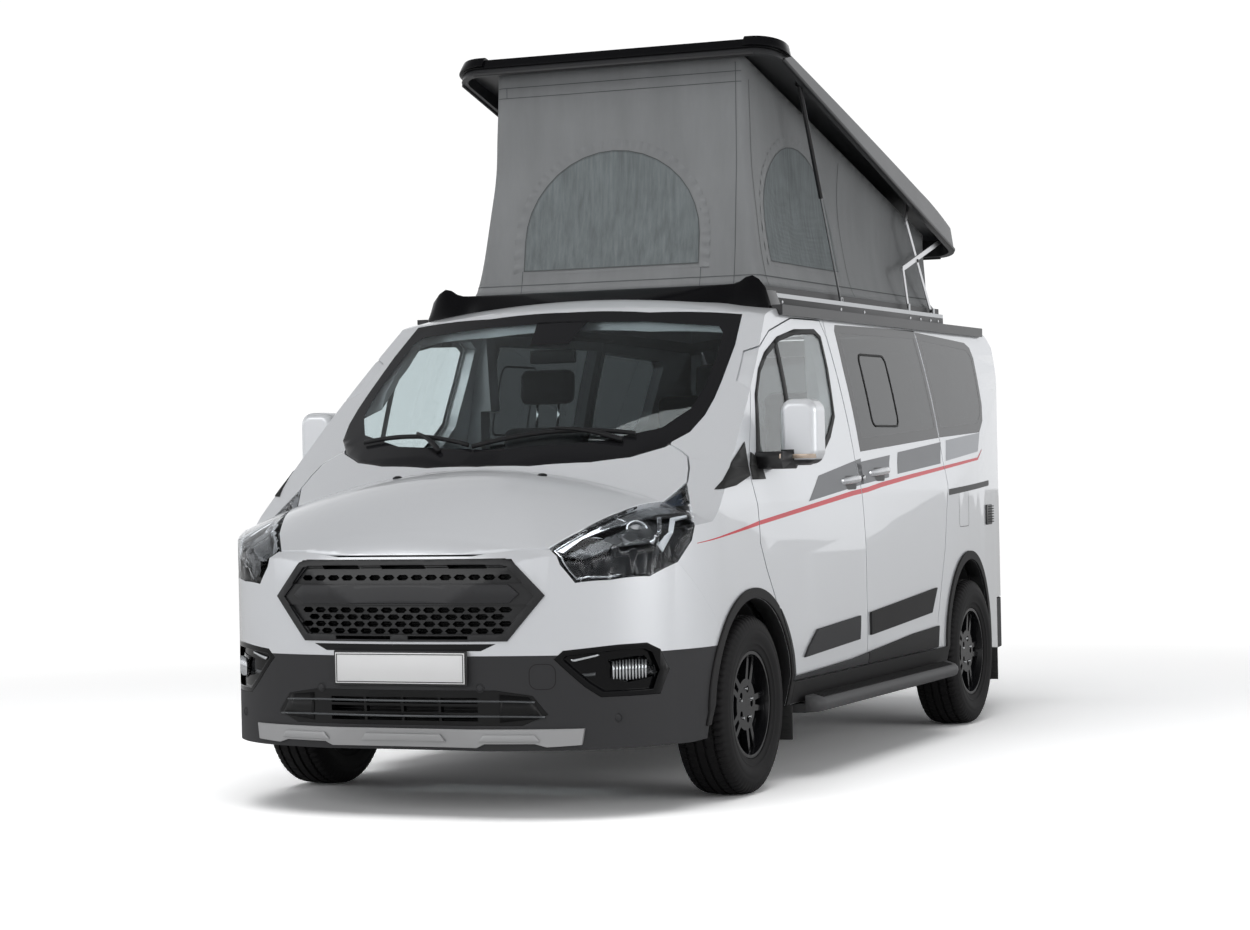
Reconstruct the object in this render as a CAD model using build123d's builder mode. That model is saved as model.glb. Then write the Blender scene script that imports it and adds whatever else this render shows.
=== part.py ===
from build123d import *
import os
from math import atan2, cos, degrees, hypot, radians, sin

# Camper van with a rear-pivoted pop-up roof.  Millimetres; +Z is up, the nose points
# to -Y and +X is the driver's (left-hand) side.  Z = 0 is the road under the tyres.

# ---------------------------------------------------------------- driving dimensions
NOSE_Y, TAIL_Y = -2486.5, 2486.5      # bumper faces
FRONT_AXLE_Y, REAR_AXLE_Y = -1468.5, 1464.5
HALF_WIDTH = 978                      # widest point of the bare body side
WALL = 60                             # doors, body sides, roof and tailgate, right through
BONNET_PANEL = 26                     # bonnet skin with its inner frame
GLASS = 8
SHUT_GAP = 6                          # between panels that move past each other
SEAT_GAP = 0.3                        # between parts bonded or bolted together
UNDERSIDE_Z = 300                     # lower edge of the body sides
BONNET_CROWN_Z = -1100                # centre of the arcs that crown bonnet and screen
ROOF_CROWN_Z = -2500                  # centre of the flatter arcs that crown the roof

TYRE_R, TYRE_HALF_WIDTH = 340, 107.5
WHEEL_X = 868                         # centre plane of a tyre
RIM_BEAD_R, RIM_LIP_R, RIM_HALF_WIDTH = 203, 219, 88
STUD_COUNT, STUD_PITCH_R = 5, 60
SPOKE_ROOT, SPOKE_SPREAD = 17, 11     # half spacing of a twin spoke, and how it widens
DISC_R = 150
STUB_R = 30                           # stub axles
RUNNING_GAP = 0.08                    # hub bore on its stub axle
STEER_X = 790                         # upright steering axis
FRONT_ARCH_R, REAR_ARCH_R = 402, 402
REAR_ARCH_Z = 372                     # centre of the rear arch
ARCH_TRIM = 40                        # visible width of an arch trim

BELT_Z = 1215                         # lower edge of the side windows
DOOR_BOTTOM_Z = 398
FLOOR_Z, FLOOR_THICKNESS = 540, 30
BULKHEAD_Y = -1510                    # rear face of the wall ahead of the pedals
SILL_Z, SILL_INNER_X = 302, 830       # underside and inner wall of the sill boxes
B_PILLAR_Y = -129                     # shut line between front and sliding door
SLIDE_REAR_Y = 1120                   # rear shut line of the sliding door
TAILGATE_BOTTOM_Z, TAILGATE_TOP_Z = 566, 1868
BUMPER_SPLIT_Z = 588                  # painted bumper above, grey cladding below
BUMPER_BOTTOM_Z = 250
BONNET_EDGE_Z = 948                   # front edge of the bonnet at its corners

# pop-up roof: it turns about a distant centre that its scissor links make
ROOF_CENTRE_Y, ROOF_CENTRE_Z = 3117, 1810
ROOF_ANGLE = 15.07                    # from raised to shut
ROOF_RIM_Z = 1976                     # rim of the shut roof
ROOF_HALF_WIDTH = 745
ROOF_FRONT_Y, ROOF_REAR_Y = -648, 2052
ROOF_FRONT_DEPTH, ROOF_MID_DEPTH, ROOF_CROWN_DEPTH = 60, 104, 130
ROOF_TAIL_DEPTH, ROOF_REAR_DEPTH = 126, 96
ROOF_CROWN_Y = 1450                   # where the shell is deepest
ROOF_WALL = 28
BASE_RAIL_TOP_Z = 1950

os.makedirs("parts", exist_ok=True)


def save(shape, name):
    """Write one finished piece to its own STEP file."""
    shape.label = name
    export_step(shape, f"parts/{name}.step")


# ---------------------------------------------------------------- body form
def arcs(points):
    """Chain of arcs; every second point is the middle of an arc."""
    for start, middle, end in zip(points[0::2], points[1::2], points[2::2]):
        ThreePointArc(start, middle, end)


def nose_profile(inset):
    """Centre line of nose, bonnet and screen, open to roof and tail."""
    t = inset
    with BuildSketch(Plane.YZ) as profile:
        with BuildLine():
            arcs([(NOSE_Y + t, 600), (-2478 + t, 800), (-2440 + t, 955 - t / 2)])
            arcs([(-2440 + t, 955 - t / 2), (-2415 + 0.8 * t, 1000 - 0.7 * t),
                  (-2380 + 0.4 * t, 1035 - t), (-2130 + 0.3 * t, 1178 - t),
                  (-1850 + 0.5 * t, 1250 - t)])
            Polyline((-1850 + 0.5 * t, 1250 - t), (-850 + 0.5 * t, 1958 - t), (-400, 2300),
                     (2600, 2300), (2600, 150 - t), (-2440 + t, 150 - t), (-2470 + t, 330),
                     (NOSE_Y + t, 480), (NOSE_Y + t, 600))
        make_face()
    return profile.sketch


def roof_profile(inset):
    """Centre line of roof and tail, open to the nose."""
    t = inset
    with BuildSketch(Plane.YZ) as profile:
        with BuildLine():
            arcs([(-960 + 0.5 * t, 1886 - 0.9 * t), (-780 + 0.3 * t, 1936 - t),
                  (-560 + 0.2 * t, 1952 - t), (700, 1968 - t), (2200 - 0.5 * t, 1946 - t),
                  (2330 - 0.8 * t, 1912 - 0.8 * t), (2388 - t, 1820 - 0.3 * t)])
            Line((2388 - t, 1820 - 0.3 * t), (2440 - t, 1150))
            arcs([(2440 - t, 1150), (2465 - t, 800), (2470 - t, 560)])
            Polyline((2470 - t, 560), (TAIL_Y - t, 540), (TAIL_Y - t, 400),
                     (2440 - t, 120 - t), (-2700, 120 - t), (-2700, 1480),
                     (-960 + 0.5 * t, 1886 - 0.9 * t))
        make_face()
    return profile.sketch


def plan_outline(inset):
    """Outline seen from above, moved inwards by inset."""
    t = inset
    with BuildSketch(Plane.XY) as outline:
        with BuildLine():
            arcs([(0, NOSE_Y + t), (300, -2466 + t), (560 - 0.3 * t, -2404 + 0.95 * t),
                  (775 - 0.66 * t, -2270 + 0.75 * t), (900 - 0.9 * t, -2070 + 0.43 * t),
                  (950 - 0.97 * t, -1930 + 0.2 * t), (968 - t, -1780), (HALF_WIDTH - t, -600),
                  (966 - t, 1000), (935 - t, 1750), (880 - t, 2250 - 0.2 * t),
                  (820 - 0.7 * t, 2370 - 0.7 * t), (700 - 0.3 * t, 2430 - t),
                  (350, 2474 - t), (0, TAIL_Y - t)])
            Line((0, TAIL_Y - t), (0, NOSE_Y + t))
        make_face()
        mirror(about=Plane.YZ)
    return outline.sketch


def cross_section(inset):
    """Widest cross-section, moved inwards by inset."""
    t = inset
    with BuildSketch(Plane.XZ) as section:
        with BuildLine():
            Polyline((0, 100 - t), (930 - t, 100 - t), (930 - t, 250), (972 - t, 420))
            arcs([(972 - t, 420), (980 - t, 760), (966 - t, 1100), (955 - t, 1170),
                  (940 - t, 1240), (888 - t, 1545), (818 - t, 1830),
                  (790 - 0.9 * t, 1895 - 0.3 * t), (730 - 0.6 * t, 1945 - 0.8 * t)])
            Polyline((730 - 0.6 * t, 1945 - 0.8 * t), (500, 2100), (0, 2100), (0, 100 - t))
        make_face()
        mirror(about=Plane.YZ)
    return section.sketch


def body_form(inset):
    """Closed form of the body: plan and section meet the two crowned side profiles."""
    with BuildPart() as box:
        add(plan_outline(inset))
        extrude(amount=2300)
        with BuildSketch(Plane.XZ):
            add(cross_section(inset))
        extrude(amount=2700, both=True, mode=Mode.INTERSECT)
    bonnet_crown = Axis((0, 0, BONNET_CROWN_Z), (0, 1, 0))
    with BuildPart() as form:
        revolve(nose_profile(inset).face().rotate(bonnet_crown, -45), axis=bonnet_crown,
                revolution_arc=90)
        add(box.part, mode=Mode.INTERSECT)
    roof_crown = Axis((0, 0, ROOF_CROWN_Z), (0, 1, 0))
    with BuildPart() as body:
        revolve(roof_profile(inset).face().rotate(roof_crown, -30), axis=roof_crown,
                revolution_arc=60)
        add(form.part, mode=Mode.INTERSECT)
    return body.part


def side_prism(points, x_low, x_high, grow=0.0):
    """Prism along X over a (y, z) outline, on the left side of the van."""
    with BuildPart() as prism:
        with BuildSketch(Plane.YZ.offset(x_low)):
            with BuildLine():
                Polyline(*points, close=True)
            make_face()
            if grow:
                offset(amount=grow, kind=Kind.INTERSECTION)
        extrude(amount=x_high - x_low)
    return prism.part


def front_prism(points, y_low, y_high, grow=0.0):
    """Prism along Y over an (x, z) outline, symmetric about the centre plane."""
    with BuildPart() as prism:
        with BuildSketch(Plane.XZ.offset(-y_high)):
            with BuildLine():
                Polyline(*points, close=True)
            make_face()
            if grow:
                offset(amount=grow, kind=Kind.INTERSECTION)
        extrude(amount=y_high - y_low)
    return prism.part


def block(x_span, y_span, z_span):
    """Axis-aligned cutting block."""
    size = [high - low for low, high in (x_span, y_span, z_span)]
    centre = [(high + low) / 2 for low, high in (x_span, y_span, z_span)]
    with BuildPart(Location(tuple(centre))) as cutter:
        Box(*size)
    return cutter.part


def carve(stock, keep=(), remove=()):
    """Part of the stock inside every 'keep' form and outside every 'remove' form."""
    with BuildPart() as panel:
        add(stock)
        for form in keep:
            add(form, mode=Mode.INTERSECT)
        for form in remove:
            add(form, mode=Mode.SUBTRACT)
    return panel.part


def both_sides(shape):
    """A left-hand piece and its mirror image as one node."""
    with BuildPart() as pair:
        add(shape)
        mirror(about=Plane.YZ)
    return pair.part


def save_sides(shape, name):
    """Write a left-hand piece and its mirror image as two nodes."""
    save(shape, f"{name}_left")
    with BuildPart() as other:
        add(mirror(shape, about=Plane.YZ, mode=Mode.PRIVATE))
    save(other.part, f"{name}_right")


outer_form = body_form(0)
inner_form = body_form(WALL)
seat_form = body_form(WALL + SEAT_GAP)      # limit of what seats on the panels' inner faces
inner_fit = body_form(WALL + SHUT_GAP)      # limit of what stays clear of them
glass_form = body_form(GLASS)
trim_form = body_form(-10)
shell = carve(outer_form, remove=[inner_form])
pane_skin = carve(outer_form, remove=[glass_form])
trim_skin = carve(trim_form, remove=[outer_form])

# outlines, as (y, z) from the side --------------------------------------------
DOOR_FRONT_EDGE = [(-1045, DOOR_BOTTOM_Z), (-1105, 560), (-1245, 755), (-1318, 851),
                   (-1378, 950), (-1380, 1090), (-1404, 1180)]
DOOR_OUTLINE = [*DOOR_FRONT_EDGE, (-1404, 1235), (-1212, 1570), (-1060, 1690), (-860, 1776),
                (-560, 1838), (-205, 1842), (-175, 1780), (B_PILLAR_Y - 3.5, 1200),
                (B_PILLAR_Y - 3.5, DOOR_BOTTOM_Z)]
DOOR_WINDOW = [(-1325, BELT_Z + 25), (-1196, 1520), (-1095, 1622), (-980, 1690), (-785, 1758),
               (-560, 1795), (-307, 1804), (-245, 1775), (-258, 1638), (-305, 1435),
               (-407, 1350), (-590, 1252), (-700, BELT_Z + 25)]
SLIDE_OUTLINE = [(B_PILLAR_Y + 3.5, DOOR_BOTTOM_Z), (B_PILLAR_Y + 3.5, 1200), (-160, 1780),
                 (-150, 1856), (SLIDE_REAR_Y, 1868), (SLIDE_REAR_Y, 1130),
                 (SLIDE_REAR_Y - 26, 1060), (1044, 839), (967, 661), (909, 529),
                 (880, DOOR_BOTTOM_Z)]
# flush panes bonded on the frame, and how far the frame shows inside their edge
PANE_LAP = 42
SLIDE_WINDOW = [(-48, BELT_Z + 75), (-56, 1645), (-40, 1806), (-12, 1832),
                (SLIDE_REAR_Y - 6, 1845), (SLIDE_REAR_Y - 6, BELT_Z + 133)]
QUARTER_WINDOW = [(SLIDE_REAR_Y + 10, BELT_Z + 134), (SLIDE_REAR_Y + 10, 1838), (1900, 1812),
                  (1965, 1790), (1985, 1740), (1935, 1510), (1890, 1430), (1800, 1374)]
WING_SPLIT = [(-2056, 905), (-1788, 640)]      # bumper to wing, lamp corner to arch
WING_OUTLINE = [*WING_SPLIT, (-1788, UNDERSIDE_Z), (-1052, UNDERSIDE_Z),
                *[(y - 7, z) for y, z in DOOR_FRONT_EDGE], (-1660, 1290), (-2056, 1290)]
BONNET_FRONT = [(0, -2446), (300, -2428), (542, -2378)]
BONNET_SIDE = [(616, -2262), (690, -2090), (762, -1870), (818, -1735), (802, -1675),
               (780, -1630), (745, -1612)]
SCREEN_OUTLINE = [(0, -1830), (216, -1817), (439, -1760), (576, -1698), (680, -1613),
                  (748, -1516), (772, -1419), (777, -1330), (773, -1233), (758, -1046),
                  (728, -880), (357, -948), (0, -960)]
LAMP_CORNERS = [(542, -2376, 968), (594, -2391, 908), (641, -2369, 843), (745, -2298, 850),
                (848, -2177, 858), (908, -2056, 905), (935, -1984, 980), (883, -1849, 1078),
                (825, -1745, 1184), (690, -2090, 1094), (616, -2262, 1030)]
GRILLE_OUTLINE = [(-407, 640), (407, 640), (541, 801), (423, 932), (-423, 932), (-541, 801)]
INTAKE_OUTLINE = [(-455, 340), (455, 340), (545, 378), (492, 446), (360, 466), (-360, 466),
                  (-492, 446), (-545, 378)]

# ---------------------------------------------------------------- wheel houses
with BuildPart() as wheel_houses:
    with BuildSketch(Plane.YZ):
        with Locations((FRONT_AXLE_Y, TYRE_R)):
            Circle(FRONT_ARCH_R)
        with Locations((REAR_AXLE_Y, REAR_ARCH_Z)):
            Circle(REAR_ARCH_R)
    extrude(amount=1200, both=True)
wheel_cut = wheel_houses.part

# ---------------------------------------------------------------- windscreen
def screen_prism(gap):
    """Upright prism over the windscreen's plan outline, widened by a gap."""
    with BuildPart() as prism:
        with BuildSketch(Plane.XY.offset(1150)):
            with BuildLine():
                Polyline(*SCREEN_OUTLINE, close=True)
            make_face()
            mirror(about=Plane.YZ)
            if gap:
                offset(amount=gap, kind=Kind.INTERSECTION)
        extrude(amount=760)
    return prism.part


screen_opening = screen_prism(SEAT_GAP)
save(carve(pane_skin, keep=[screen_prism(0)]), "windscreen")

# ---------------------------------------------------------------- bonnet
def bonnet_cutter(gap):
    """Upright prism over the bonnet's plan outline, widened by a shut gap."""
    with BuildPart() as cutter:
        with BuildSketch(Plane.XY.offset(BONNET_EDGE_Z - gap)):
            with BuildLine():
                ThreePointArc(*BONNET_FRONT)
                Polyline(BONNET_FRONT[2], *BONNET_SIDE, (660, -1590), (0, -1700),
                         BONNET_FRONT[0])
            make_face()
            mirror(about=Plane.YZ)
            if gap:
                offset(amount=gap, kind=Kind.INTERSECTION)
        extrude(amount=500)
    return cutter.part


bonnet_clearance = bonnet_cutter(SHUT_GAP)
bonnet_skin = carve(outer_form, remove=[body_form(BONNET_PANEL)])
save(carve(bonnet_skin, keep=[bonnet_cutter(0)], remove=[screen_prism(SHUT_GAP)]), "bonnet")

# ---------------------------------------------------------------- headlamps
LAMP_PLANE = Plane(origin=(742, -2090, 1000), x_dir=(0.62, 0.55, 0), z_dir=(0.55, -0.62, 0.56))


def lamp_cutter(gap):
    """Prism over a swept-back headlamp, square to the corner of the nose."""
    corners = [LAMP_PLANE.to_local_coords(Vector(*point)) for point in LAMP_CORNERS]
    with BuildPart() as cutter:
        with BuildSketch(LAMP_PLANE):
            with BuildLine():
                Polyline(*[(corner.X, corner.Y) for corner in corners], close=True)
            make_face()
            if gap:
                offset(amount=gap, kind=Kind.INTERSECTION)
        extrude(amount=260, both=True)
    return cutter.part


lamp_opening = both_sides(lamp_cutter(SEAT_GAP))
lamp_stock = carve(shell, keep=[block((500, 1000), (-2450, -1600), (780, 1300))],
                   remove=[bonnet_clearance])
save(both_sides(carve(lamp_stock, keep=[lamp_cutter(0)])), "headlamps")

# ---------------------------------------------------------------- wings and body sides
rebate_skin = carve(outer_form, remove=[body_form(GLASS + SEAT_GAP)])


def pane_cuts(outline):
    """Rebate for a flush bonded pane and the smaller opening through the panel."""
    return [carve(rebate_skin, keep=[side_prism(outline, 600, 1000, SEAT_GAP)]),
            side_prism(outline, 600, 1000, -PANE_LAP)]


wing_zone = side_prism(WING_OUTLINE, 480, 1000)
wing = carve(shell, keep=[wing_zone],
             remove=[bonnet_clearance, lamp_opening, wheel_cut, screen_opening])
# hinge shelf that the rear corner of the shut bonnet lies on
bonnet_shelf = carve(body_form(BONNET_PANEL + SEAT_GAP),
                     keep=[block((770, 900), (-1716, -1676), (1140, 1285))],
                     remove=[lamp_opening])
with BuildPart() as wings:
    add(wing)
    add(bonnet_shelf)
    mirror(about=Plane.YZ)
save(wings.part, "wings")

TAILGATE_FRONT_Y = 2256               # nothing of the tailgate lies ahead of this
REAR_BUMPER_FRONT_Y = 2136
ROOF_SEAM_X = 700                     # roof panel between the body sides
DOOR_LIMIT_X = ROOF_SEAM_X + SHUT_GAP
door_zone = side_prism(DOOR_OUTLINE, DOOR_LIMIT_X, 1000)
door_opening = side_prism(DOOR_OUTLINE, 600, 1000, SHUT_GAP)
slide_zone = side_prism(SLIDE_OUTLINE, DOOR_LIMIT_X, 1000)
side_stock = carve(shell, keep=[block((ROOF_SEAM_X, 1000), (-1700, 2480), (UNDERSIDE_Z, 2000))],
                   remove=[side_prism(WING_OUTLINE, 480, 1000), bonnet_clearance,
                           lamp_opening, wheel_cut, screen_opening])
tail_lamp_zone = block((706, 1000), (2300, 2500), (1000, 1490))
body_side = carve(side_stock, remove=[
    door_opening, side_prism(SLIDE_OUTLINE, 600, 1000, SHUT_GAP),
    *pane_cuts(QUARTER_WINDOW), tail_lamp_zone,
    block((0, 1000), (REAR_BUMPER_FRONT_Y - SHUT_GAP, 2500), (UNDERSIDE_Z, TAILGATE_BOTTOM_Z - SHUT_GAP)),
    block((0, 1000), (-1800, -1040), (0, 1150))])
# pillars behind the shut lines: the closed doors and tailgate rest on them
B_PILLAR_INNER_X, B_PILLAR_HALF = 790, 45
D_PILLAR_INNER_X, D_PILLAR_FRONT_Y, D_PILLAR_TOP_Z = 636, 2262, 1740
with BuildPart() as pillars:
    add(carve(seat_form, keep=[block((B_PILLAR_INNER_X, 1000),
                                     (B_PILLAR_Y - B_PILLAR_HALF, B_PILLAR_Y + B_PILLAR_HALF),
                                     (DOOR_BOTTOM_Z - 60, 1580))]))
    add(carve(seat_form, keep=[side_prism([(B_PILLAR_Y - B_PILLAR_HALF, 1500),
                                           (B_PILLAR_Y + B_PILLAR_HALF, 1500),
                                           (B_PILLAR_Y + 10, 1880), (B_PILLAR_Y - 80, 1880)],
                                          740, 1000)]))
    add(carve(outer_form, keep=[block((860, 1000), (B_PILLAR_Y - B_PILLAR_HALF,
                                                    B_PILLAR_Y + B_PILLAR_HALF),
                                      (UNDERSIDE_Z + 10, DOOR_BOTTOM_Z - SHUT_GAP))]))
    add(carve(outer_form, keep=[block((704, 1000), (B_PILLAR_Y - 80, B_PILLAR_Y + 10),
                                      (1866, 1884))]))
    add(carve(seat_form, keep=[block((D_PILLAR_INNER_X, ROOF_SEAM_X + 2),
                                     (D_PILLAR_FRONT_Y, 2500), (FLOOR_Z, D_PILLAR_TOP_Z))]))
    add(carve(outer_form, keep=[block((ROOF_SEAM_X, ROOF_SEAM_X + 60),
                                      (D_PILLAR_FRONT_Y, 2330), (FLOOR_Z, 1840))]))
with BuildPart() as body_side_with_pillars:
    add(body_side)
    add(pillars.part)
save_sides(body_side_with_pillars.part, "body_side")
save(both_sides(carve(shell, keep=[tail_lamp_zone])), "tail_lamps")

# ---------------------------------------------------------------- doors and side glass
door_window = side_prism(DOOR_WINDOW, 600, 1000)
save_sides(carve(shell, keep=[door_zone],
                 remove=[side_prism(DOOR_WINDOW, 600, 1000, SEAT_GAP), wheel_cut]), "door")
save_sides(carve(pane_skin, keep=[door_window]), "door_glass")
save(both_sides(carve(shell, keep=[slide_zone], remove=pane_cuts(SLIDE_WINDOW))),
     "sliding_doors")
with BuildPart() as side_glass:
    for outline in (SLIDE_WINDOW, QUARTER_WINDOW):
        add(carve(pane_skin, keep=[side_prism(outline, 600, 1000)]))
    mirror(about=Plane.YZ)
save(side_glass.part, "side_glass")

# ---------------------------------------------------------------- roof panel
HATCH_X, HATCH_FRONT_Y, HATCH_REAR_Y = 590, -430, 1850
roof_hatch = block((-HATCH_X, HATCH_X), (HATCH_FRONT_Y, HATCH_REAR_Y), (1700, 2100))
tailgate_clearance = block((-ROOF_SEAM_X, ROOF_SEAM_X), (TAILGATE_FRONT_Y - SHUT_GAP, 2500),
                           (1700, TAILGATE_TOP_Z + SHUT_GAP))
save(carve(shell, keep=[block((-ROOF_SEAM_X, ROOF_SEAM_X), (-1000, 2480), (1700, 2000))],
           remove=[roof_hatch, screen_opening, tailgate_clearance]), "roof_panel")

# ---------------------------------------------------------------- tailgate and rear bumper
TAILGATE_HALF_WIDTH = ROOF_SEAM_X - SHUT_GAP
TAILGATE_CORNER_R = 60
REAR_WINDOW, REAR_WINDOW_Z, REAR_WINDOW_R = (1180, 520), 1530, 70


def rear_block(width, height, middle_z, radius):
    """Rounded rectangle seen from behind, carried through the tail."""
    with BuildPart() as form:
        with BuildSketch(Plane.XZ.offset(-2500)):
            with Locations((0, middle_z)):
                RectangleRounded(width, height, radius)
        extrude(amount=2500 - TAILGATE_FRONT_Y)
    return form.part


tailgate_zone = rear_block(2 * TAILGATE_HALF_WIDTH, TAILGATE_TOP_Z - TAILGATE_BOTTOM_Z,
                           (TAILGATE_TOP_Z + TAILGATE_BOTTOM_Z) / 2, TAILGATE_CORNER_R)
pane_size = [size - 2 * SEAT_GAP for size in REAR_WINDOW]
save(carve(shell, keep=[tailgate_zone],
           remove=[rear_block(*REAR_WINDOW, REAR_WINDOW_Z, REAR_WINDOW_R)]), "tailgate")
save(carve(pane_skin, keep=[rear_block(*pane_size, REAR_WINDOW_Z, REAR_WINDOW_R)]),
     "tailgate_glass")
save(carve(shell, keep=[block((-1000, 1000), (REAR_BUMPER_FRONT_Y, 2500),
                              (UNDERSIDE_Z + 10, TAILGATE_BOTTOM_Z - 2 * SHUT_GAP))]),
     "rear_bumper")

# ---------------------------------------------------------------- nose
nose_zone = side_prism([(NOSE_Y - 20, BUMPER_SPLIT_Z), (NOSE_Y - 20, 1000), (-2300, 1020),
                        (-2056, 1000), (WING_SPLIT[0][0] - SEAT_GAP, 905),
                        (WING_SPLIT[1][0] - SEAT_GAP, 640), (-1788, BUMPER_SPLIT_Z)], -1000, 1000)
grille_opening = front_prism(GRILLE_OUTLINE, -2520, -2250, SEAT_GAP)
# hexagonal grille: frame, plain centre bar, rows of pointed cells and slots, all pierced
GRILLE_FRAME, GRILLE_RECESS, GRILLE_DEPTH = 26, 9, 34
BAR_Z = (770, 846)
CELL_PITCH, CELL_HALF, CELL_FLAT, CELL_RISE = 57, 25, 14, 10
CELL_ROWS = [(868, 0), (752, 0), (727, 0.5), (702, 0), (677, 0.5)]       # height, shift
SLOTS = [(905, 0, 178), (905, 255, 150), (905, -255, 150), (654, 150, 230), (654, -150, 230)]


def grille_reach(z):
    """Half the width of the grille's inside at a height."""
    low, tip, high = GRILLE_OUTLINE[1], GRILLE_OUTLINE[2], GRILLE_OUTLINE[3]
    corner = high if z > tip[1] else low
    share = (z - tip[1]) / (corner[1] - tip[1])
    return tip[0] + share * (corner[0] - tip[0]) - GRILLE_FRAME


with BuildPart() as grille_cells:
    with BuildSketch(Plane.XZ.offset(2300)):
        for row_z, shift in CELL_ROWS:
            count = int((grille_reach(row_z) - CELL_HALF - 6) / CELL_PITCH - shift)
            first = -count - 1 if shift else -count
            for i in range(first, count + 1):
                with Locations((CELL_PITCH * (i + shift), row_z)):
                    Polygon((-CELL_HALF, 0), (-CELL_FLAT, CELL_RISE), (CELL_FLAT, CELL_RISE),
                            (CELL_HALF, 0), (CELL_FLAT, -CELL_RISE), (-CELL_FLAT, -CELL_RISE),
                            align=None)
        for slot_z, slot_x, width in SLOTS:
            with Locations((slot_x, slot_z)):
                Rectangle(width, 13)
    extrude(amount=300)
grille_pocket = carve(outer_form, keep=[front_prism(GRILLE_OUTLINE, -2520, -2250, -GRILLE_FRAME)],
                      remove=[body_form(GRILLE_RECESS), block((-600, 600), (-2520, -2250), BAR_Z)])
grille = carve(outer_form, keep=[front_prism(GRILLE_OUTLINE, -2520, -2250)],
               remove=[body_form(GRILLE_DEPTH), grille_pocket, grille_cells.part])
save(grille, "grille")

lower_zone = side_prism([(NOSE_Y - 20, BUMPER_BOTTOM_Z), (NOSE_Y - 20, BUMPER_SPLIT_Z - SEAT_GAP),
                         (-1789, BUMPER_SPLIT_Z - SEAT_GAP), (-1789, BUMPER_BOTTOM_Z)], -1000, 1000)
# outlines, as (x, z) from the front
FOG_OUTLINE = [(566, 574), (597, 604), (763, 620), (838, 622), (868, 596), (886, 522),
               (866, 436), (712, 436), (664, 474)]
FOG_FRAME, FOG_RECESS = 20, 16
SLAT_ROWS, SLAT_COLUMNS, SLAT_PITCH_Z, SLAT_PITCH_X = 3, 4, 31, 150
SLAT_WIDTH, SLAT_HEIGHT, INTAKE_Z, INTAKE_DEPTH = 140, 21, 398, 24


def fog_zone(grow):
    """Prisms over the two fog-lamp outlines, seen from ahead."""
    with BuildPart() as prism:
        with BuildSketch(Plane.XZ.offset(1900)):
            with BuildLine():
                Polyline(*FOG_OUTLINE, close=True)
            make_face()
            if grow:
                offset(amount=grow, kind=Kind.INTERSECTION)
            mirror(about=Plane.YZ)
        extrude(amount=600)
    return prism.part


fog_opening = fog_zone(SEAT_GAP)
intake_opening = front_prism(INTAKE_OUTLINE, -2520, -2250)
front_bumper = carve(shell, keep=[nose_zone],
                     remove=[bonnet_clearance, lamp_opening, grille_opening, wheel_cut,
                             fog_opening])
save(front_bumper, "front_bumper")
lower_bumper = carve(shell, keep=[lower_zone], remove=[wheel_cut, fog_opening, intake_opening])
save(lower_bumper, "lower_bumper")
fog_pocket = carve(outer_form, keep=[fog_zone(-FOG_FRAME)], remove=[body_form(FOG_RECESS)])
save(carve(shell, keep=[fog_zone(0)], remove=[fog_pocket]), "fog_lamps")
with BuildPart() as intake_cuts:
    with BuildSketch(Plane.XZ.offset(2300)):
        with Locations((0, INTAKE_Z)):
            with GridLocations(SLAT_PITCH_X, SLAT_PITCH_Z, SLAT_COLUMNS, SLAT_ROWS):
                Rectangle(SLAT_WIDTH, SLAT_HEIGHT)
    extrude(amount=300)
save(carve(outer_form, keep=[front_prism(INTAKE_OUTLINE, -2520, -2250, -SEAT_GAP)],
           remove=[body_form(INTAKE_DEPTH), intake_cuts.part]), "intake_grille")
SKID_OUTLINE = [(-664, 328), (-655, 270), (-540, 264), (-500, 276), (-320, 276), (-290, 262),
                (290, 262), (320, 276), (500, 276), (540, 264), (655, 270), (664, 328)]
save(carve(trim_skin, keep=[front_prism(SKID_OUTLINE, -2520, -2200)]), "skid_trim")

# ---------------------------------------------------------------- cladding
def arch_trim(axle_y, arch_z, arch_r):
    """Ring of cladding round one wheel arch, standing proud of the body side."""
    with BuildPart() as trim:
        with BuildSketch(Plane.YZ.offset(860)):
            with Locations((axle_y, arch_z)):
                Circle(arch_r + ARCH_TRIM)
                Circle(arch_r, mode=Mode.SUBTRACT)
            with Locations((axle_y, UNDERSIDE_Z / 2)):
                Rectangle(1200, UNDERSIDE_Z, mode=Mode.SUBTRACT)
        extrude(amount=200)
        add(trim_skin, mode=Mode.INTERSECT)
    return trim.part


door_shadow = side_prism(DOOR_OUTLINE, 600, 1100)
door_swing_zone = side_prism(DOOR_OUTLINE, 600, 1100, SHUT_GAP)
front_ring = arch_trim(FRONT_AXLE_Y, TYRE_R, FRONT_ARCH_R)
rear_ring = arch_trim(REAR_AXLE_Y, REAR_ARCH_Z, REAR_ARCH_R)
# rubbing strips and sill cladding, as (y, z) from the side
DOOR_STRIP = [(-926, 480), (-882, 520), (-775, 582), (-240, 606), (-250, 508)]
SLIDE_STRIP = [(-100, 612), (880, 668), (790, 560), (-100, 516)]
SILL_STRIP_TOP = [(-1060, 412), (-328, 433), (502, 483), (1030, 498)]
SILL_STRIP_FOOT_Z = UNDERSIDE_Z + 4
UNDER_DOORS_Z = DOOR_BOTTOM_Z - SHUT_GAP
slide_shadow = side_prism(SLIDE_OUTLINE, 600, 1100)


def strip_on(outline, panel):
    """Moulding over an outline, no wider than the panel that carries it."""
    return carve(trim_skin, keep=[side_prism(outline, 600, 1100), panel])


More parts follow.
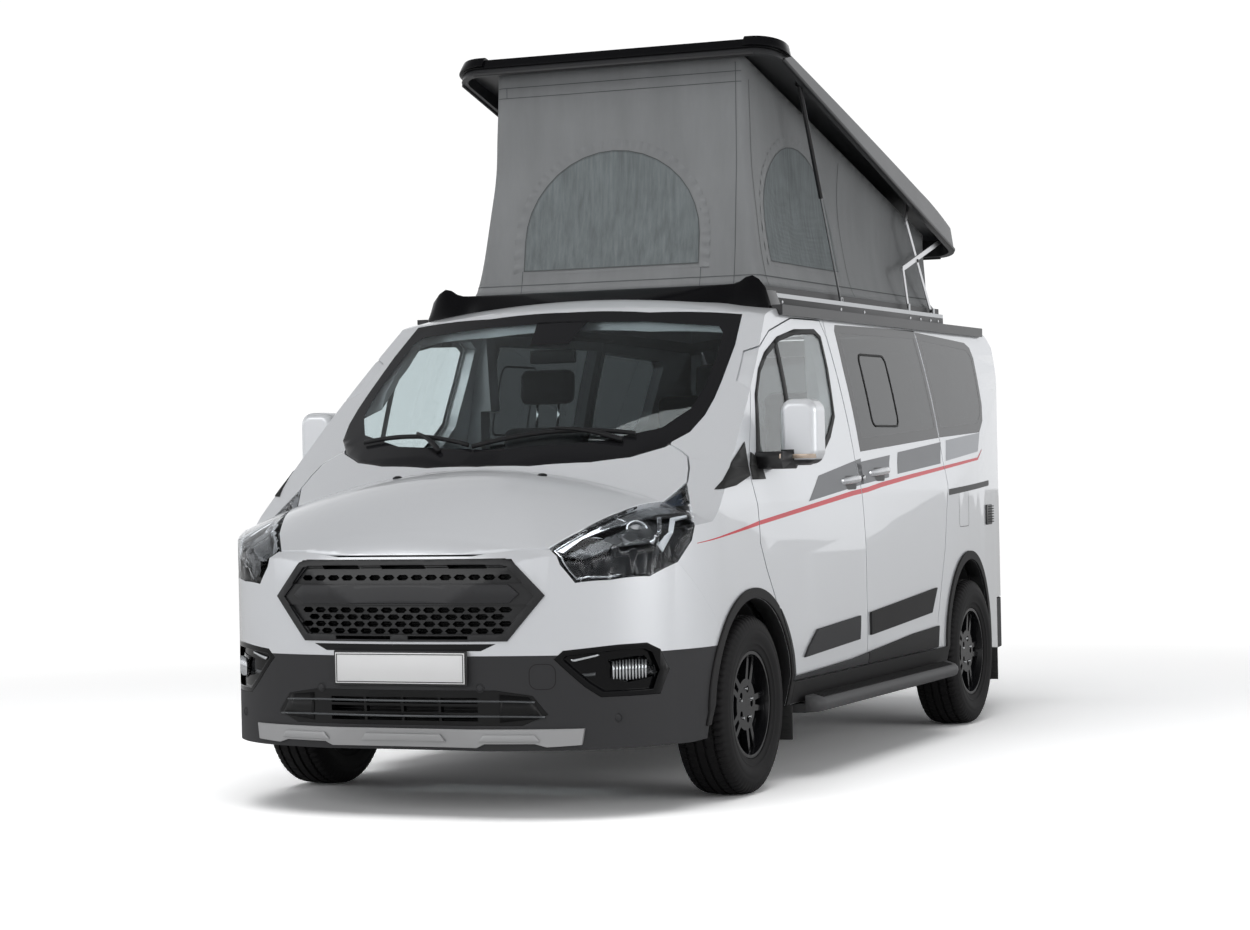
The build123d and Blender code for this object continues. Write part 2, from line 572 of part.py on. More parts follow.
SILL_STRIP = [*SILL_STRIP_TOP, (1030, SILL_STRIP_FOOT_Z), (-1060, SILL_STRIP_FOOT_Z)]
save(both_sides(carve(front_ring, remove=[door_swing_zone])), "front_arch_trims")
with BuildPart() as door_trim:
    add(strip_on(DOOR_STRIP, door_shadow))
    add(carve(strip_on(SILL_STRIP, door_shadow), remove=[wheel_cut]))
    add(carve(front_ring, keep=[door_shadow]))
save_sides(door_trim.part, "door_trim")
with BuildPart() as rear_arch_trims:
    add(rear_ring)
    add(strip_on(SLIDE_STRIP, slide_shadow))
    add(carve(strip_on(SILL_STRIP, slide_shadow), remove=[wheel_cut]))
    add(carve(strip_on(SILL_STRIP, block((600, 1100), (-1040, 1030), (0, UNDER_DOORS_Z))),
              remove=[wheel_cut, front_ring]))
    mirror(about=Plane.YZ)
save(rear_arch_trims.part, "rear_arch_trims")

with BuildPart() as running_boards:
    with BuildSketch(Plane.XZ.offset(-960)):
        with Locations((936, 278)):
            RectangleRounded(114, 34, 12)
    extrude(amount=1900)
    with BuildSketch(Plane.XY.offset(270)):
        with Locations(*[(860, y) for y in (-700, 0, 700)]):
            Rectangle(90, 50)
    extrude(amount=16)
    with BuildSketch(Plane.XY.offset(270)):
        with Locations(*[(SILL_INNER_X + 20, y) for y in (-700, 0, 700)]):
            Rectangle(40, 50)
    extrude(amount=SILL_Z - 270 - SEAT_GAP)
    mirror(about=Plane.YZ)
save(running_boards.part, "running_boards")

# ---------------------------------------------------------------- floor and chassis
# axle y, arch centre z, arch radius, inner wall x
WHEEL_BOX_FOOT_Z = 400
WHEEL_BOXES = [(FRONT_AXLE_Y, TYRE_R, FRONT_ARCH_R, 560), (REAR_AXLE_Y, REAR_ARCH_Z, REAR_ARCH_R, 700)]
RAIL_X, RAIL_HALF, RAIL_BOTTOM_Z = 440, 40, 393
FLOOR_UNDER_Z = FLOOR_Z - FLOOR_THICKNESS
SILL_TOP_Z = DOOR_BOTTOM_Z - SHUT_GAP
with BuildPart() as floor_pan:
    add(block((-880, 880), (-1530, 2330), (FLOOR_UNDER_Z, FLOOR_Z)))
    for y in (-1960, -900, 0, REAR_AXLE_Y - 600, REAR_AXLE_Y + 600):
        add(block((-480, 480), (y - 40, y + 40), (330, 430)))
    for y in (REAR_AXLE_Y - 610, REAR_AXLE_Y + 610):
        add(block((-563, 563), (y - 30, y + 30), (416.3, FLOOR_Z - 20)))
    add(block((-880, 880), (-1530, BULKHEAD_Y), (FLOOR_Z, 1150)))
    add(block((SILL_INNER_X, SILL_INNER_X + 12), (-1040, 2330), (SILL_Z, FLOOR_UNDER_Z)))
    mirror(about=Plane.YZ)
    add(inner_fit, mode=Mode.INTERSECT)
    for side in (-1, 1):
        for x_span, y_span, z_span in (
                ((RAIL_X - RAIL_HALF, RAIL_X + RAIL_HALF), (NOSE_Y, TAIL_Y),
                 (RAIL_BOTTOM_Z, FLOOR_UNDER_Z)),
                ((SILL_INNER_X, 1000), (-1040, 2130), (SILL_Z, SILL_TOP_Z))):
            mirrored_span = tuple(sorted(side * x for x in x_span))
            add(carve(seat_form, keep=[block(mirrored_span, y_span, z_span)]))
        pillar_span = sorted(side * x for x in (B_PILLAR_INNER_X - SEAT_GAP, 1000))
        pillar_reach = B_PILLAR_HALF + SEAT_GAP
        add(block(tuple(pillar_span), (B_PILLAR_Y - pillar_reach, B_PILLAR_Y + pillar_reach),
                  (UNDERSIDE_Z, FLOOR_Z + 1)), mode=Mode.SUBTRACT)
    with BuildSketch(Plane.YZ):
        with Locations((FRONT_AXLE_Y, TYRE_R)):
            Circle(FRONT_ARCH_R + 10)
        with Locations((REAR_AXLE_Y, REAR_ARCH_Z)):
            Circle(REAR_ARCH_R + 10)
    extrude(amount=1200, both=True, mode=Mode.SUBTRACT)
with BuildPart() as wheel_boxes:
    for axle_y, arch_z, arch_r, inner_x in WHEEL_BOXES:
        with BuildSketch(Plane.YZ.offset(inner_x)):
            with Locations((axle_y, arch_z)):
                Circle(arch_r + 10)
            with Locations((axle_y, 0)):
                Rectangle(1000, 2 * WHEEL_BOX_FOOT_Z, mode=Mode.SUBTRACT)
        extrude(amount=-10)
        with BuildSketch(Plane.YZ.offset(inner_x)):
            with Locations((axle_y, arch_z)):
                Circle(arch_r + 10)
                Circle(arch_r, mode=Mode.SUBTRACT)
            with Locations((axle_y, 0)):
                Rectangle(1000, 2 * WHEEL_BOX_FOOT_Z, mode=Mode.SUBTRACT)
        extrude(amount=880 - inner_x)
    mirror(about=Plane.YZ)
    add(inner_fit, mode=Mode.INTERSECT)
with BuildPart() as floor_with_boxes:
    add(floor_pan.part)
    add(wheel_boxes.part)
save(floor_with_boxes.part, "floor_pan")

# ---------------------------------------------------------------- wheels
def wheel_place(x, y):
    return Location((x, y, TYRE_R))


with BuildPart() as tyre:
    with BuildSketch(Plane.XY):
        with BuildLine():
            Polyline((-RIM_HALF_WIDTH, RIM_BEAD_R), (RIM_HALF_WIDTH, RIM_BEAD_R),
                     (RIM_HALF_WIDTH, RIM_LIP_R + 1))
            ThreePointArc((RIM_HALF_WIDTH, RIM_LIP_R + 1), (TYRE_HALF_WIDTH, 275), (98, 322))
            Polyline((98, 322), (80, TYRE_R - 3), (0, TYRE_R), (-80, TYRE_R - 3), (-98, 322))
            ThreePointArc((-98, 322), (-TYRE_HALF_WIDTH, 275), (-RIM_HALF_WIDTH, RIM_LIP_R + 1))
            Line((-RIM_HALF_WIDTH, RIM_LIP_R + 1), (-RIM_HALF_WIDTH, RIM_BEAD_R))
        make_face()
    revolve(axis=Axis.X)

# one-piece wheel with its hub and brake disc behind the spokes
with BuildPart() as rim:
    with BuildSketch(Plane.XY):
        with BuildLine():
            Polyline((-RIM_HALF_WIDTH + SEAT_GAP, RIM_BEAD_R - SEAT_GAP),
                     (RIM_HALF_WIDTH - SEAT_GAP, RIM_BEAD_R - SEAT_GAP),
                     (RIM_HALF_WIDTH - SEAT_GAP, 190), (60, 184), (20, 176), (-60, 184),
                     (-RIM_HALF_WIDTH + SEAT_GAP, 190), close=True)
        make_face()
    revolve(axis=Axis.X)
    with BuildSketch(Plane.YZ.offset(40)):
        with PolarLocations(0, STUD_COUNT):
            for lean in (-1, 1):
                with Locations((60, lean * SPOKE_ROOT, 0)):
                    Polygon((0, -13), (0, 13), (130, lean * SPOKE_SPREAD + 9),
                            (130, lean * SPOKE_SPREAD - 9), align=None)
        Circle(186, mode=Mode.INTERSECT)
        Circle(98)
        with PolarLocations(STUD_PITCH_R, STUD_COUNT):
            Circle(13, mode=Mode.SUBTRACT)
    extrude(amount=26)
    with BuildSketch(Plane.YZ.offset(36)):
        with PolarLocations(0, STUD_COUNT, start_angle=36):
            Polygon((80, -24), (80, 24), (190, 46), (190, -46), align=None)
        Circle(186, mode=Mode.INTERSECT)
    extrude(amount=4)
    with BuildSketch(Plane.YZ.offset(14)):
        Circle(106)
        Circle(32.6, mode=Mode.SUBTRACT)
    extrude(amount=22)

    with BuildSketch(Plane.YZ.offset(-34)):
        Circle(DISC_R)
    extrude(amount=24)
    with BuildSketch(Plane.YZ.offset(-10)):
        Circle(100)
    extrude(amount=24)
    with BuildSketch(Plane.YZ.offset(-34)):
        Circle(STUB_R + RUNNING_GAP)
    extrude(amount=60, mode=Mode.SUBTRACT)

STATIONS = [("front_left", 1, FRONT_AXLE_Y), ("front_right", -1, FRONT_AXLE_Y),
            ("rear_left", 1, REAR_AXLE_Y), ("rear_right", -1, REAR_AXLE_Y)]
for station, side, axle_y in STATIONS:
    for piece, name in ((tyre, "tyre"), (rim, "rim")):
        with BuildPart() as placed:
            turned = piece.part if side > 0 else mirror(piece.part, about=Plane.YZ,
                                                         mode=Mode.PRIVATE)
            add(turned.moved(wheel_place(side * WHEEL_X, axle_y)))
        save(placed.part, f"{name}_{station}")

# ---------------------------------------------------------------- steering knuckles
with BuildPart() as knuckle:
    with Locations((STEER_X, FRONT_AXLE_Y, TYRE_R)):
        Cylinder(30, 200)
    with BuildSketch(Plane.YZ.offset(STEER_X)):
        with Locations((FRONT_AXLE_Y, TYRE_R)):
            Circle(STUB_R)
    extrude(amount=WHEEL_X - STEER_X + 8)
save_sides(knuckle.part, "knuckle")

with BuildPart() as front_suspension:
    add(block((380, 400), (-1520, -1420), (225, 392.7)))
    with BuildSketch(Plane.XY.offset(200)):
        with BuildLine():
            Polyline((400, FRONT_AXLE_Y - 150), (820, FRONT_AXLE_Y - 30), (820, FRONT_AXLE_Y + 30),
                     (400, FRONT_AXLE_Y + 150), close=True)
        make_face()
    extrude(amount=39.7)
    with BuildSketch(Plane.XZ.offset(-(FRONT_AXLE_Y - 26))):
        with BuildLine():
            Polyline((762, 440.3), (820, 440.3), (820, 468), (740, 480), (735, 600), (700, 700),
                     (560.3, 741), (560.3, 700), (660, 640), (690, 440.3), close=True)
        make_face()
    extrude(amount=-52)
    mirror(about=Plane.YZ)
save(front_suspension.part, "front_suspension")

with BuildPart() as rear_axle:
    with BuildSketch(Plane.YZ.offset(-760)):
        with Locations((REAR_AXLE_Y, TYRE_R)):
            Circle(38)
    extrude(amount=1520)
    for x in (-560, 500):
        with BuildSketch(Plane.YZ.offset(x)):
            with BuildLine():
                Polyline((REAR_AXLE_Y - 640, 400), (REAR_AXLE_Y - 300, 320), (REAR_AXLE_Y, 296),
                         (REAR_AXLE_Y + 300, 320), (REAR_AXLE_Y + 640, 400),
                         (REAR_AXLE_Y + 640, 416), (REAR_AXLE_Y + 300, 338),
                         (REAR_AXLE_Y, 314), (REAR_AXLE_Y - 300, 338),
                         (REAR_AXLE_Y - 640, 416), close=True)
            make_face()
        extrude(amount=60)
    for side in (-1, 1):
        with BuildSketch(Plane.YZ.offset(side * 760)):
            with Locations((REAR_AXLE_Y, TYRE_R)):
                Circle(STUB_R)
        extrude(amount=side * (WHEEL_X - 760 + 8))
save(rear_axle.part, "rear_axle")

# ---------------------------------------------------------------- engine
ENGINE_HALF_WIDTH = RAIL_X - RAIL_HALF - SEAT_GAP      # between the chassis rails
save(block((-ENGINE_HALF_WIDTH, ENGINE_HALF_WIDTH), (-2240, -1640), (430.3, 930)),
     "engine_block")

# ---------------------------------------------------------------- roof frame and rails
FRAME_HALF_WIDTH, FRAME_FRONT_Y, FRAME_REAR_Y, FRAME_TOP_Z = 680, -530, 1960, 1985
TENT_HALF_WIDTH, TENT_FRONT_Y, TENT_REAR_Y, TENT_WALL = 668, -500, 1950, 12
with BuildPart() as roof_frame:
    add(block((-FRAME_HALF_WIDTH, FRAME_HALF_WIDTH), (FRAME_FRONT_Y, FRAME_REAR_Y),
              (1860, FRAME_TOP_Z)))
    add(roof_hatch, mode=Mode.SUBTRACT)
    add(outer_form, mode=Mode.SUBTRACT)
save(roof_frame.part, "roof_frame")

with BuildPart() as gutters:
    add(block((784, 830), (-690, 2200), (1850, 1892)))
    add(outer_form, mode=Mode.SUBTRACT)
    mirror(about=Plane.YZ)
save(gutters.part, "awning_rails")

# ---------------------------------------------------------------- pop-up roof
ROOF_CENTRE = Axis((0, ROOF_CENTRE_Y, ROOF_CENTRE_Z), (1, 0, 0))


def raise_roof(shape):
    """Swing a piece of the shut roof up to where it stands."""
    return shape.rotate(ROOF_CENTRE, -ROOF_ANGLE)


def swing(point, angle):
    """Turn a (y, z) point about the roof's centre; positive shuts the roof."""
    y, z = point[0] - ROOF_CENTRE_Y, point[1] - ROOF_CENTRE_Z
    turn = radians(angle)
    return (ROOF_CENTRE_Y + y * cos(turn) - z * sin(turn),
            ROOF_CENTRE_Z + y * sin(turn) + z * cos(turn))


roof_mid_y = (ROOF_FRONT_Y + ROOF_REAR_Y) / 2
roof_length = ROOF_REAR_Y - ROOF_FRONT_Y
ROOF_LOFT = 200                       # stock height before the crown is cut


def roof_block(inset, drop):
    """Tapered shell form under a crowned lid line, moved inwards all round."""
    with BuildPart() as form:
        with BuildSketch(Plane.XY.offset(ROOF_RIM_Z)):
            with Locations((0, roof_mid_y)):
                RectangleRounded(2 * (ROOF_HALF_WIDTH - inset), roof_length - 2 * inset,
                                 120 - inset)
        extrude(amount=ROOF_LOFT, taper=12)
        with BuildSketch(Plane.YZ.offset(-ROOF_HALF_WIDTH)):
            with BuildLine():
                ThreePointArc((ROOF_FRONT_Y - 20, ROOF_RIM_Z + ROOF_FRONT_DEPTH - drop),
                              (425, ROOF_RIM_Z + ROOF_MID_DEPTH - drop),
                              (ROOF_CROWN_Y, ROOF_RIM_Z + ROOF_CROWN_DEPTH - drop))
                ThreePointArc((ROOF_CROWN_Y, ROOF_RIM_Z + ROOF_CROWN_DEPTH - drop),
                              (1820, ROOF_RIM_Z + ROOF_TAIL_DEPTH - drop),
                              (ROOF_REAR_Y + 20, ROOF_RIM_Z + ROOF_REAR_DEPTH - drop))
                Polyline((ROOF_REAR_Y + 20, ROOF_RIM_Z + ROOF_REAR_DEPTH - drop),
                         (ROOF_REAR_Y + 20, ROOF_RIM_Z - 1), (ROOF_FRONT_Y - 20, ROOF_RIM_Z - 1),
                         (ROOF_FRONT_Y - 20, ROOF_RIM_Z + ROOF_FRONT_DEPTH - drop))
            make_face()
        extrude(amount=2 * ROOF_HALF_WIDTH, mode=Mode.INTERSECT)
    return form.part


roof_shell = carve(roof_block(0, 0), remove=[roof_block(ROOF_WALL, ROOF_WALL)])
TENT_TAPER = 5.6
with BuildPart() as tent:
    with BuildSketch(Plane.XY.offset(FRAME_TOP_Z + SEAT_GAP)):
        with Locations((0, (TENT_FRONT_Y + TENT_REAR_Y) / 2)):
            Rectangle(2 * TENT_HALF_WIDTH, TENT_REAR_Y - TENT_FRONT_Y)
    extrude(amount=1100, taper=TENT_TAPER)
    with BuildSketch(Plane.XY.offset(FRAME_TOP_Z + SEAT_GAP)):
        with Locations((0, (TENT_FRONT_Y + TENT_REAR_Y) / 2)):
            Rectangle(2 * (TENT_HALF_WIDTH - TENT_WALL),
                      TENT_REAR_Y - TENT_FRONT_Y - 2 * TENT_WALL)
    extrude(amount=1100, taper=TENT_TAPER, mode=Mode.SUBTRACT)
    roof_line = Plane(origin=(0, *swing((0, ROOF_RIM_Z + ROOF_FRONT_DEPTH - ROOF_WALL - 3), -ROOF_ANGLE)),
                      x_dir=(1, 0, 0),
                      z_dir=(0, sin(radians(ROOF_ANGLE)), cos(radians(ROOF_ANGLE))))
    split(bisect_by=roof_line, keep=Keep.BOTTOM)
save(tent.part, "tent")

# ---------------------------------------------------------------- scissor links of the roof
# Two long bars cross on each side; a short link at each end makes up for the slope.
# Pins as (y, z) with the roof raised.
BASE_PIN_REAR = (1785, 1968)
ROOF_PIN_REAR = (1985, 2326)
CROSS_PIN = (1567, 2200)
BAR_REACH, BAR_TAIL = 327, 213        # base pin to crossing, crossing to end
ROOF_BAR_REACH, ROOF_BAR_TAIL = 432, 250
BASE_PIN_FRONT_Z = 1975
BAR_WIDTH, BAR_THICK, BAR_PITCH = 24, 4, 5
BAR_INNER_X = 686


def meet(centre_a, reach_a, centre_b, reach_b):
    """Point at both reaches, on the side of the lower nose-ward crossing."""
    dy, dz = centre_b[0] - centre_a[0], centre_b[1] - centre_a[1]
    span = hypot(dy, dz)
    along = (reach_a ** 2 - reach_b ** 2 + span ** 2) / (2 * span)
    across = max(reach_a ** 2 - along ** 2, 0) ** 0.5
    return (centre_a[0] + (along * dy - across * dz) / span,
            centre_a[1] + (along * dz + across * dy) / span)


def beyond(start, through, extra):
    """Point on the line from start through another point, that much further on."""
    span = hypot(through[0] - start[0], through[1] - start[1])
    return tuple(b + (b - a) * extra / span for a, b in zip(start, through))


def on_bisector(point_a, point_b, level):
    """Point as far from point_a as from point_b, at a given height."""
    mid_y, mid_z = (point_a[0] + point_b[0]) / 2, (point_a[1] + point_b[1]) / 2
    dy, dz = point_b[0] - point_a[0], point_b[1] - point_a[1]
    return (mid_y - (level - mid_z) * dz / dy, level)


def heading(start, end):
    return degrees(atan2(end[1] - start[1], end[0] - start[0]))


def turn_between(before, after):
    return (after - before + 180) % 360 - 180


crossing_up = meet(BASE_PIN_REAR, BAR_REACH, ROOF_PIN_REAR, ROOF_BAR_REACH)
roof_pin_shut = swing(ROOF_PIN_REAR, ROOF_ANGLE)
crossing_shut = meet(BASE_PIN_REAR, BAR_REACH, roof_pin_shut, ROOF_BAR_REACH)
bar_end_up = beyond(BASE_PIN_REAR, crossing_up, BAR_TAIL)
bar_end_shut = beyond(BASE_PIN_REAR, crossing_shut, BAR_TAIL)
roof_bar_end_up = beyond(ROOF_PIN_REAR, crossing_up, ROOF_BAR_TAIL)
roof_bar_end_shut = beyond(roof_pin_shut, crossing_shut, ROOF_BAR_TAIL)
base_pin_front = on_bisector(roof_bar_end_up, roof_bar_end_shut, BASE_PIN_FRONT_Z)
bar_end_shut_in_roof = swing(bar_end_shut, -ROOF_ANGLE)
ROOF_PIN_FRONT = (1475, 2477)
PIN_R, PIN_GAP = 4, 0.08
EYE_REACH, BRACKET_HALF = 12, 13      # of a bracket round its pin


def bar_solid(pins, layer, bored):
    """Flat bar through its pins; the pin holes that turn on a fixed pin are bored."""
    low_x = BAR_INNER_X + layer * BAR_PITCH
    with BuildPart() as bar:
        with BuildSketch(Plane.YZ.offset(low_x)):
            for start, end in zip(pins[:-1], pins[1:]):
                middle = ((start[0] + end[0]) / 2, (start[1] + end[1]) / 2)
                span = hypot(end[0] - start[0], end[1] - start[1])
                with Locations(Location(middle, heading(start, end))):
                    SlotCenterToCenter(span, BAR_WIDTH)
            with Locations(*bored):
                Circle(PIN_R + PIN_GAP, mode=Mode.SUBTRACT)
        extrude(amount=BAR_THICK)
    return bar.part


def pin_bracket(pin, plate_x, seat_z, reach_x):
    """Small plate standing on (or hanging from) seat_z, with a pin to reach_x."""
    beyond_pin = pin[1] + (EYE_REACH if seat_z < pin[1] else -EYE_REACH)
    low_z, high_z = sorted((beyond_pin, seat_z))
    with BuildPart() as bracket:
        add(block((plate_x, plate_x + BAR_THICK), (pin[0] - BRACKET_HALF, pin[0] + BRACKET_HALF),
                  (low_z, high_z)))
        with BuildSketch(Plane.YZ.offset(plate_x)):
            with Locations(pin):
                Circle(PIN_R)
        extrude(amount=reach_x - plate_x)
    return bracket.part


def layer_x(layer):
    return BAR_INNER_X + layer * BAR_PITCH


save(both_sides(bar_solid([BASE_PIN_REAR, bar_end_up], 1, [BASE_PIN_REAR])), "scissor_base_bars")
save(both_sides(bar_solid([roof_bar_end_up, ROOF_PIN_REAR], 2, [ROOF_PIN_REAR])),
     "scissor_roof_bars")
save(both_sides(bar_solid([base_pin_front, roof_bar_end_up], 3, [base_pin_front])),
     "scissor_base_links")
save(both_sides(bar_solid([bar_end_up, ROOF_PIN_FRONT], 0, [ROOF_PIN_FRONT])),
     "scissor_roof_links")

# ---------------------------------------------------------------- gas struts of the roof
STRUT_X = 699
STRUT_TOP, STRUT_FOOT = (-64, 2863), (418, 1963)
CYLINDER_R, CYLINDER_LENGTH, ROD_R, ROD_ENGAGED = 10, 530, 5, 60
strut_length = hypot(STRUT_FOOT[0] - STRUT_TOP[0], STRUT_FOOT[1] - STRUT_TOP[1])
strut_down = Plane(origin=(STRUT_X, *STRUT_TOP), x_dir=(1, 0, 0),
                   z_dir=(0, STRUT_FOOT[0] - STRUT_TOP[0], STRUT_FOOT[1] - STRUT_TOP[1]))
with BuildPart() as strut_cylinders:
    with BuildSketch(strut_down.offset(8)):
        Circle(CYLINDER_R)
    extrude(amount=CYLINDER_LENGTH - 8)
    with BuildSketch(strut_down.offset(24)):
        Circle(ROD_R + PIN_GAP)
    extrude(amount=CYLINDER_LENGTH - 24, mode=Mode.SUBTRACT)
    with BuildSketch(Plane.YZ.offset(STRUT_X - 4)):
        with Locations(STRUT_TOP):
            Circle(10)
    extrude(amount=8)
    with BuildSketch(Plane.YZ.offset(STRUT_X - 4)):
        with Locations(STRUT_TOP):
            Circle(PIN_R + PIN_GAP)
    extrude(amount=8, mode=Mode.SUBTRACT)
    mirror(about=Plane.YZ)
save(strut_cylinders.part, "strut_cylinders")
with BuildPart() as strut_rods:
    with BuildSketch(strut_down.offset(CYLINDER_LENGTH - ROD_ENGAGED)):
        Circle(ROD_R)
    extrude(amount=strut_length - CYLINDER_LENGTH + ROD_ENGAGED)
    with BuildSketch(Plane.YZ.offset(STRUT_X - 4)):
        with Locations(STRUT_FOOT):
            Circle(9)
    extrude(amount=8)
    mirror(about=Plane.YZ)
save(strut_rods.part, "strut_rods")

# ---------------------------------------------------------------- rails with pin brackets
BRACKET_X = layer_x(4)
with BuildPart() as base_rails:
    add(block((704, 740), (-540, 1830), (1840, BASE_RAIL_TOP_Z)))
    add(outer_form, mode=Mode.SUBTRACT)
    add(pin_bracket(base_pin_front, BRACKET_X, BASE_RAIL_TOP_Z, layer_x(3)))
    add(pin_bracket(BASE_PIN_REAR, BRACKET_X, BASE_RAIL_TOP_Z, layer_x(1)))
    add(block((STRUT_X + 5, STRUT_X + 9), (STRUT_FOOT[0] - 14, STRUT_FOOT[0] + 14),
              (BASE_RAIL_TOP_Z, STRUT_FOOT[1] + 10)))
    mirror(about=Plane.YZ)
save(base_rails.part, "base_rails")

def roof_ceiling(y):
    """Height of the shell's inside over a point of its length, roof shut."""
    line = [(ROOF_FRONT_Y, ROOF_FRONT_DEPTH), (425, ROOF_MID_DEPTH),
            (ROOF_CROWN_Y, ROOF_CROWN_DEPTH), (1820, ROOF_TAIL_DEPTH),
            (ROOF_REAR_Y, ROOF_REAR_DEPTH)]
    for (y_low, low), (y_high, high) in zip(line, line[1:]):
        if y <= y_high:
            return ROOF_RIM_Z - ROOF_WALL + low + (high - low) * (y - y_low) / (y_high - y_low)


with BuildPart() as shell_with_brackets:
    add(roof_shell)
    for pin, plate_x, reach_x in (
            (swing(ROOF_PIN_REAR, ROOF_ANGLE), layer_x(3), layer_x(2)),
            (swing(ROOF_PIN_FRONT, ROOF_ANGLE), layer_x(-1), layer_x(1) - 1),
            (swing(STRUT_TOP, ROOF_ANGLE), STRUT_X - 14, STRUT_X + 4)):
        for side in (-1, 1):
            bracket = pin_bracket(pin, plate_x, roof_ceiling(pin[0]) + 8, reach_x)
            add(bracket if side > 0 else mirror(bracket, about=Plane.YZ, mode=Mode.PRIVATE))
save(raise_roof(shell_with_brackets.part), "roof_shell")

# ---------------------------------------------------------------- roof fairing
HORN_X, HORN_RISE = 700, 62           # raised outer ends beside the roof shell
FAIRING_HALF_WIDTH = 782
with BuildPart() as roof_fairing:
    with BuildSketch(Plane.YZ):
        with BuildLine():
            Polyline((-890, 1850), (-884, 1880), (-760, 1950), (-690, 1984), (-662, 1984),
                     (-658, 1962), (-545, 1966), (-545, 1850), close=True)
        make_face()
    extrude(amount=FAIRING_HALF_WIDTH, both=True)
    with BuildSketch(Plane.XY.offset(1800)):
        with BuildLine():
            ThreePointArc((-790, -716), (0, -884), (790, -716))
            Polyline((790, -716), (778, -545), (-778, -545), (-790, -716))
        make_face()
    extrude(amount=300, mode=Mode.INTERSECT)
    with BuildSketch(Plane.YZ.offset(HORN_X + 52)):
        with BuildLine():
            Polyline((-716, 1930), (-690, 1990), (-660, 1996 + HORN_RISE / 2), (-600, 1980),
                     (-545, 1962), (-545, 1900), close=True)
        make_face()
    extrude(amount=FAIRING_HALF_WIDTH - HORN_X - 52)
    mirror(about=Plane.YZ)
    add(outer_form, mode=Mode.SUBTRACT)
save(roof_fairing.part, "roof_fairing")

# ---------------------------------------------------------------- door mirrors
with BuildPart() as door_mirror:
    with BuildSketch(Plane.XZ.offset(1185)):
        with Locations((1060, 1372)):
            RectangleRounded(152, 252, 52)
    extrude(amount=-112)
    fillet(door_mirror.edges().filter_by(GeomType.LINE, reverse=True)
           .group_by(Axis.Y)[0], radius=30)
    fillet(door_mirror.edges().filter_by(GeomType.LINE, reverse=True)
           .group_by(Axis.Y)[-1], radius=6)
    with BuildSketch(Plane.YZ.offset(930)):
        with Locations((-1225, 1262)):
            RectangleRounded(190, 66, 24)
    extrude(amount=110)
door_mirror_clear = carve(door_mirror.part, remove=[outer_form])
save_sides(door_mirror_clear, "mirror")

# ---------------------------------------------------------------- cab and living space
DASH_FRONT_Y = BULKHEAD_Y + SEAT_GAP
with BuildPart() as dashboard:
    with BuildSketch(Plane.YZ):
        with BuildLine():
            Polyline((DASH_FRONT_Y, 1100), (DASH_FRONT_Y, 1190), (-1420, 1196), (-1290, 1180), (-1190, 1120),
                     (-1210, 960), (-1290, 840), (-1340, 775), (DASH_FRONT_Y, 775), close=True)
        make_face()
    extrude(amount=840, both=True)
    add(inner_fit, mode=Mode.INTERSECT)
    with BuildSketch(Plane(origin=(400, -1080, 1150), z_dir=(0, -0.87, -0.5))):
        Circle(188)
        Circle(160, mode=Mode.SUBTRACT)
        Rectangle(330, 36)
        Circle(58)
    extrude(amount=24)
    with BuildSketch(Plane(origin=(400, -1080, 1150), z_dir=(0, -0.87, -0.5))):
        Circle(30)
    extrude(amount=190)
save(dashboard.part, "dashboard")

SEAT_X, SEAT_WIDTH = 410, 470
with BuildPart() as front_seats:
    with BuildSketch(Plane.YZ.offset(SEAT_X - SEAT_WIDTH / 2)):
        with BuildLine():
            Polyline((-900, 800), (-920, 900), (-880, 940), (-420, 900), (-300, 1500),
                     (-320, 1680), (-250, 1700), (-210, 1500), (-300, 830), (-330, 790),
                     close=True)
        make_face()
    extrude(amount=SEAT_WIDTH)
    add(block((SEAT_X - 180, SEAT_X + 180), (-800, -380), (FLOOR_Z + SEAT_GAP, 795)))
    mirror(about=Plane.YZ)
save(front_seats.part, "front_seats")

with BuildPart() as rear_bench:
    add(block((-560, 420), (700, 1240), (FLOOR_Z + SEAT_GAP, 900)))
    with BuildSketch(Plane.YZ.offset(-560)):
        with BuildLine():
            Polyline((690, 900), (690, 1010), (1130, 990), (1230, 1650), (1300, 1650),
                     (1240, 900), close=True)
        make_face()
    extrude(amount=980)
save(rear_bench.part, "rear_bench")

save(block((560, 690), (960, 2200), (FLOOR_Z + SEAT_GAP, 1180)), "kitchen_unit")
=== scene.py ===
import math

import bmesh
import bpy
from mathutils import Matrix, Vector, noise


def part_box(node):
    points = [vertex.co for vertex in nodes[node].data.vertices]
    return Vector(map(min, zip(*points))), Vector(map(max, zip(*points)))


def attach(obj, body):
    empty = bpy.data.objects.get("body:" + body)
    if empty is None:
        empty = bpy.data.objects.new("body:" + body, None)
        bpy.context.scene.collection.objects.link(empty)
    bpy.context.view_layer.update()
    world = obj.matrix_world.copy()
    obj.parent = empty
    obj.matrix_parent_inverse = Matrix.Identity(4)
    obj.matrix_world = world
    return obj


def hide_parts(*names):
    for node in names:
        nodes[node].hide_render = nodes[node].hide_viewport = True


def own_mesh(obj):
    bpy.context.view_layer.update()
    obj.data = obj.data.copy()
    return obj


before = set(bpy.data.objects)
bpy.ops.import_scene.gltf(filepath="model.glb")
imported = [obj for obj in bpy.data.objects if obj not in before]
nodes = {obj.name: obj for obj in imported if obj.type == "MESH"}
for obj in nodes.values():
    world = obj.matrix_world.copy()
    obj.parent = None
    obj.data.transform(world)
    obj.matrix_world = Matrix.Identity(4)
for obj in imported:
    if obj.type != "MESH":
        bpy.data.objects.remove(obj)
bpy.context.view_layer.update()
scene = bpy.context.scene
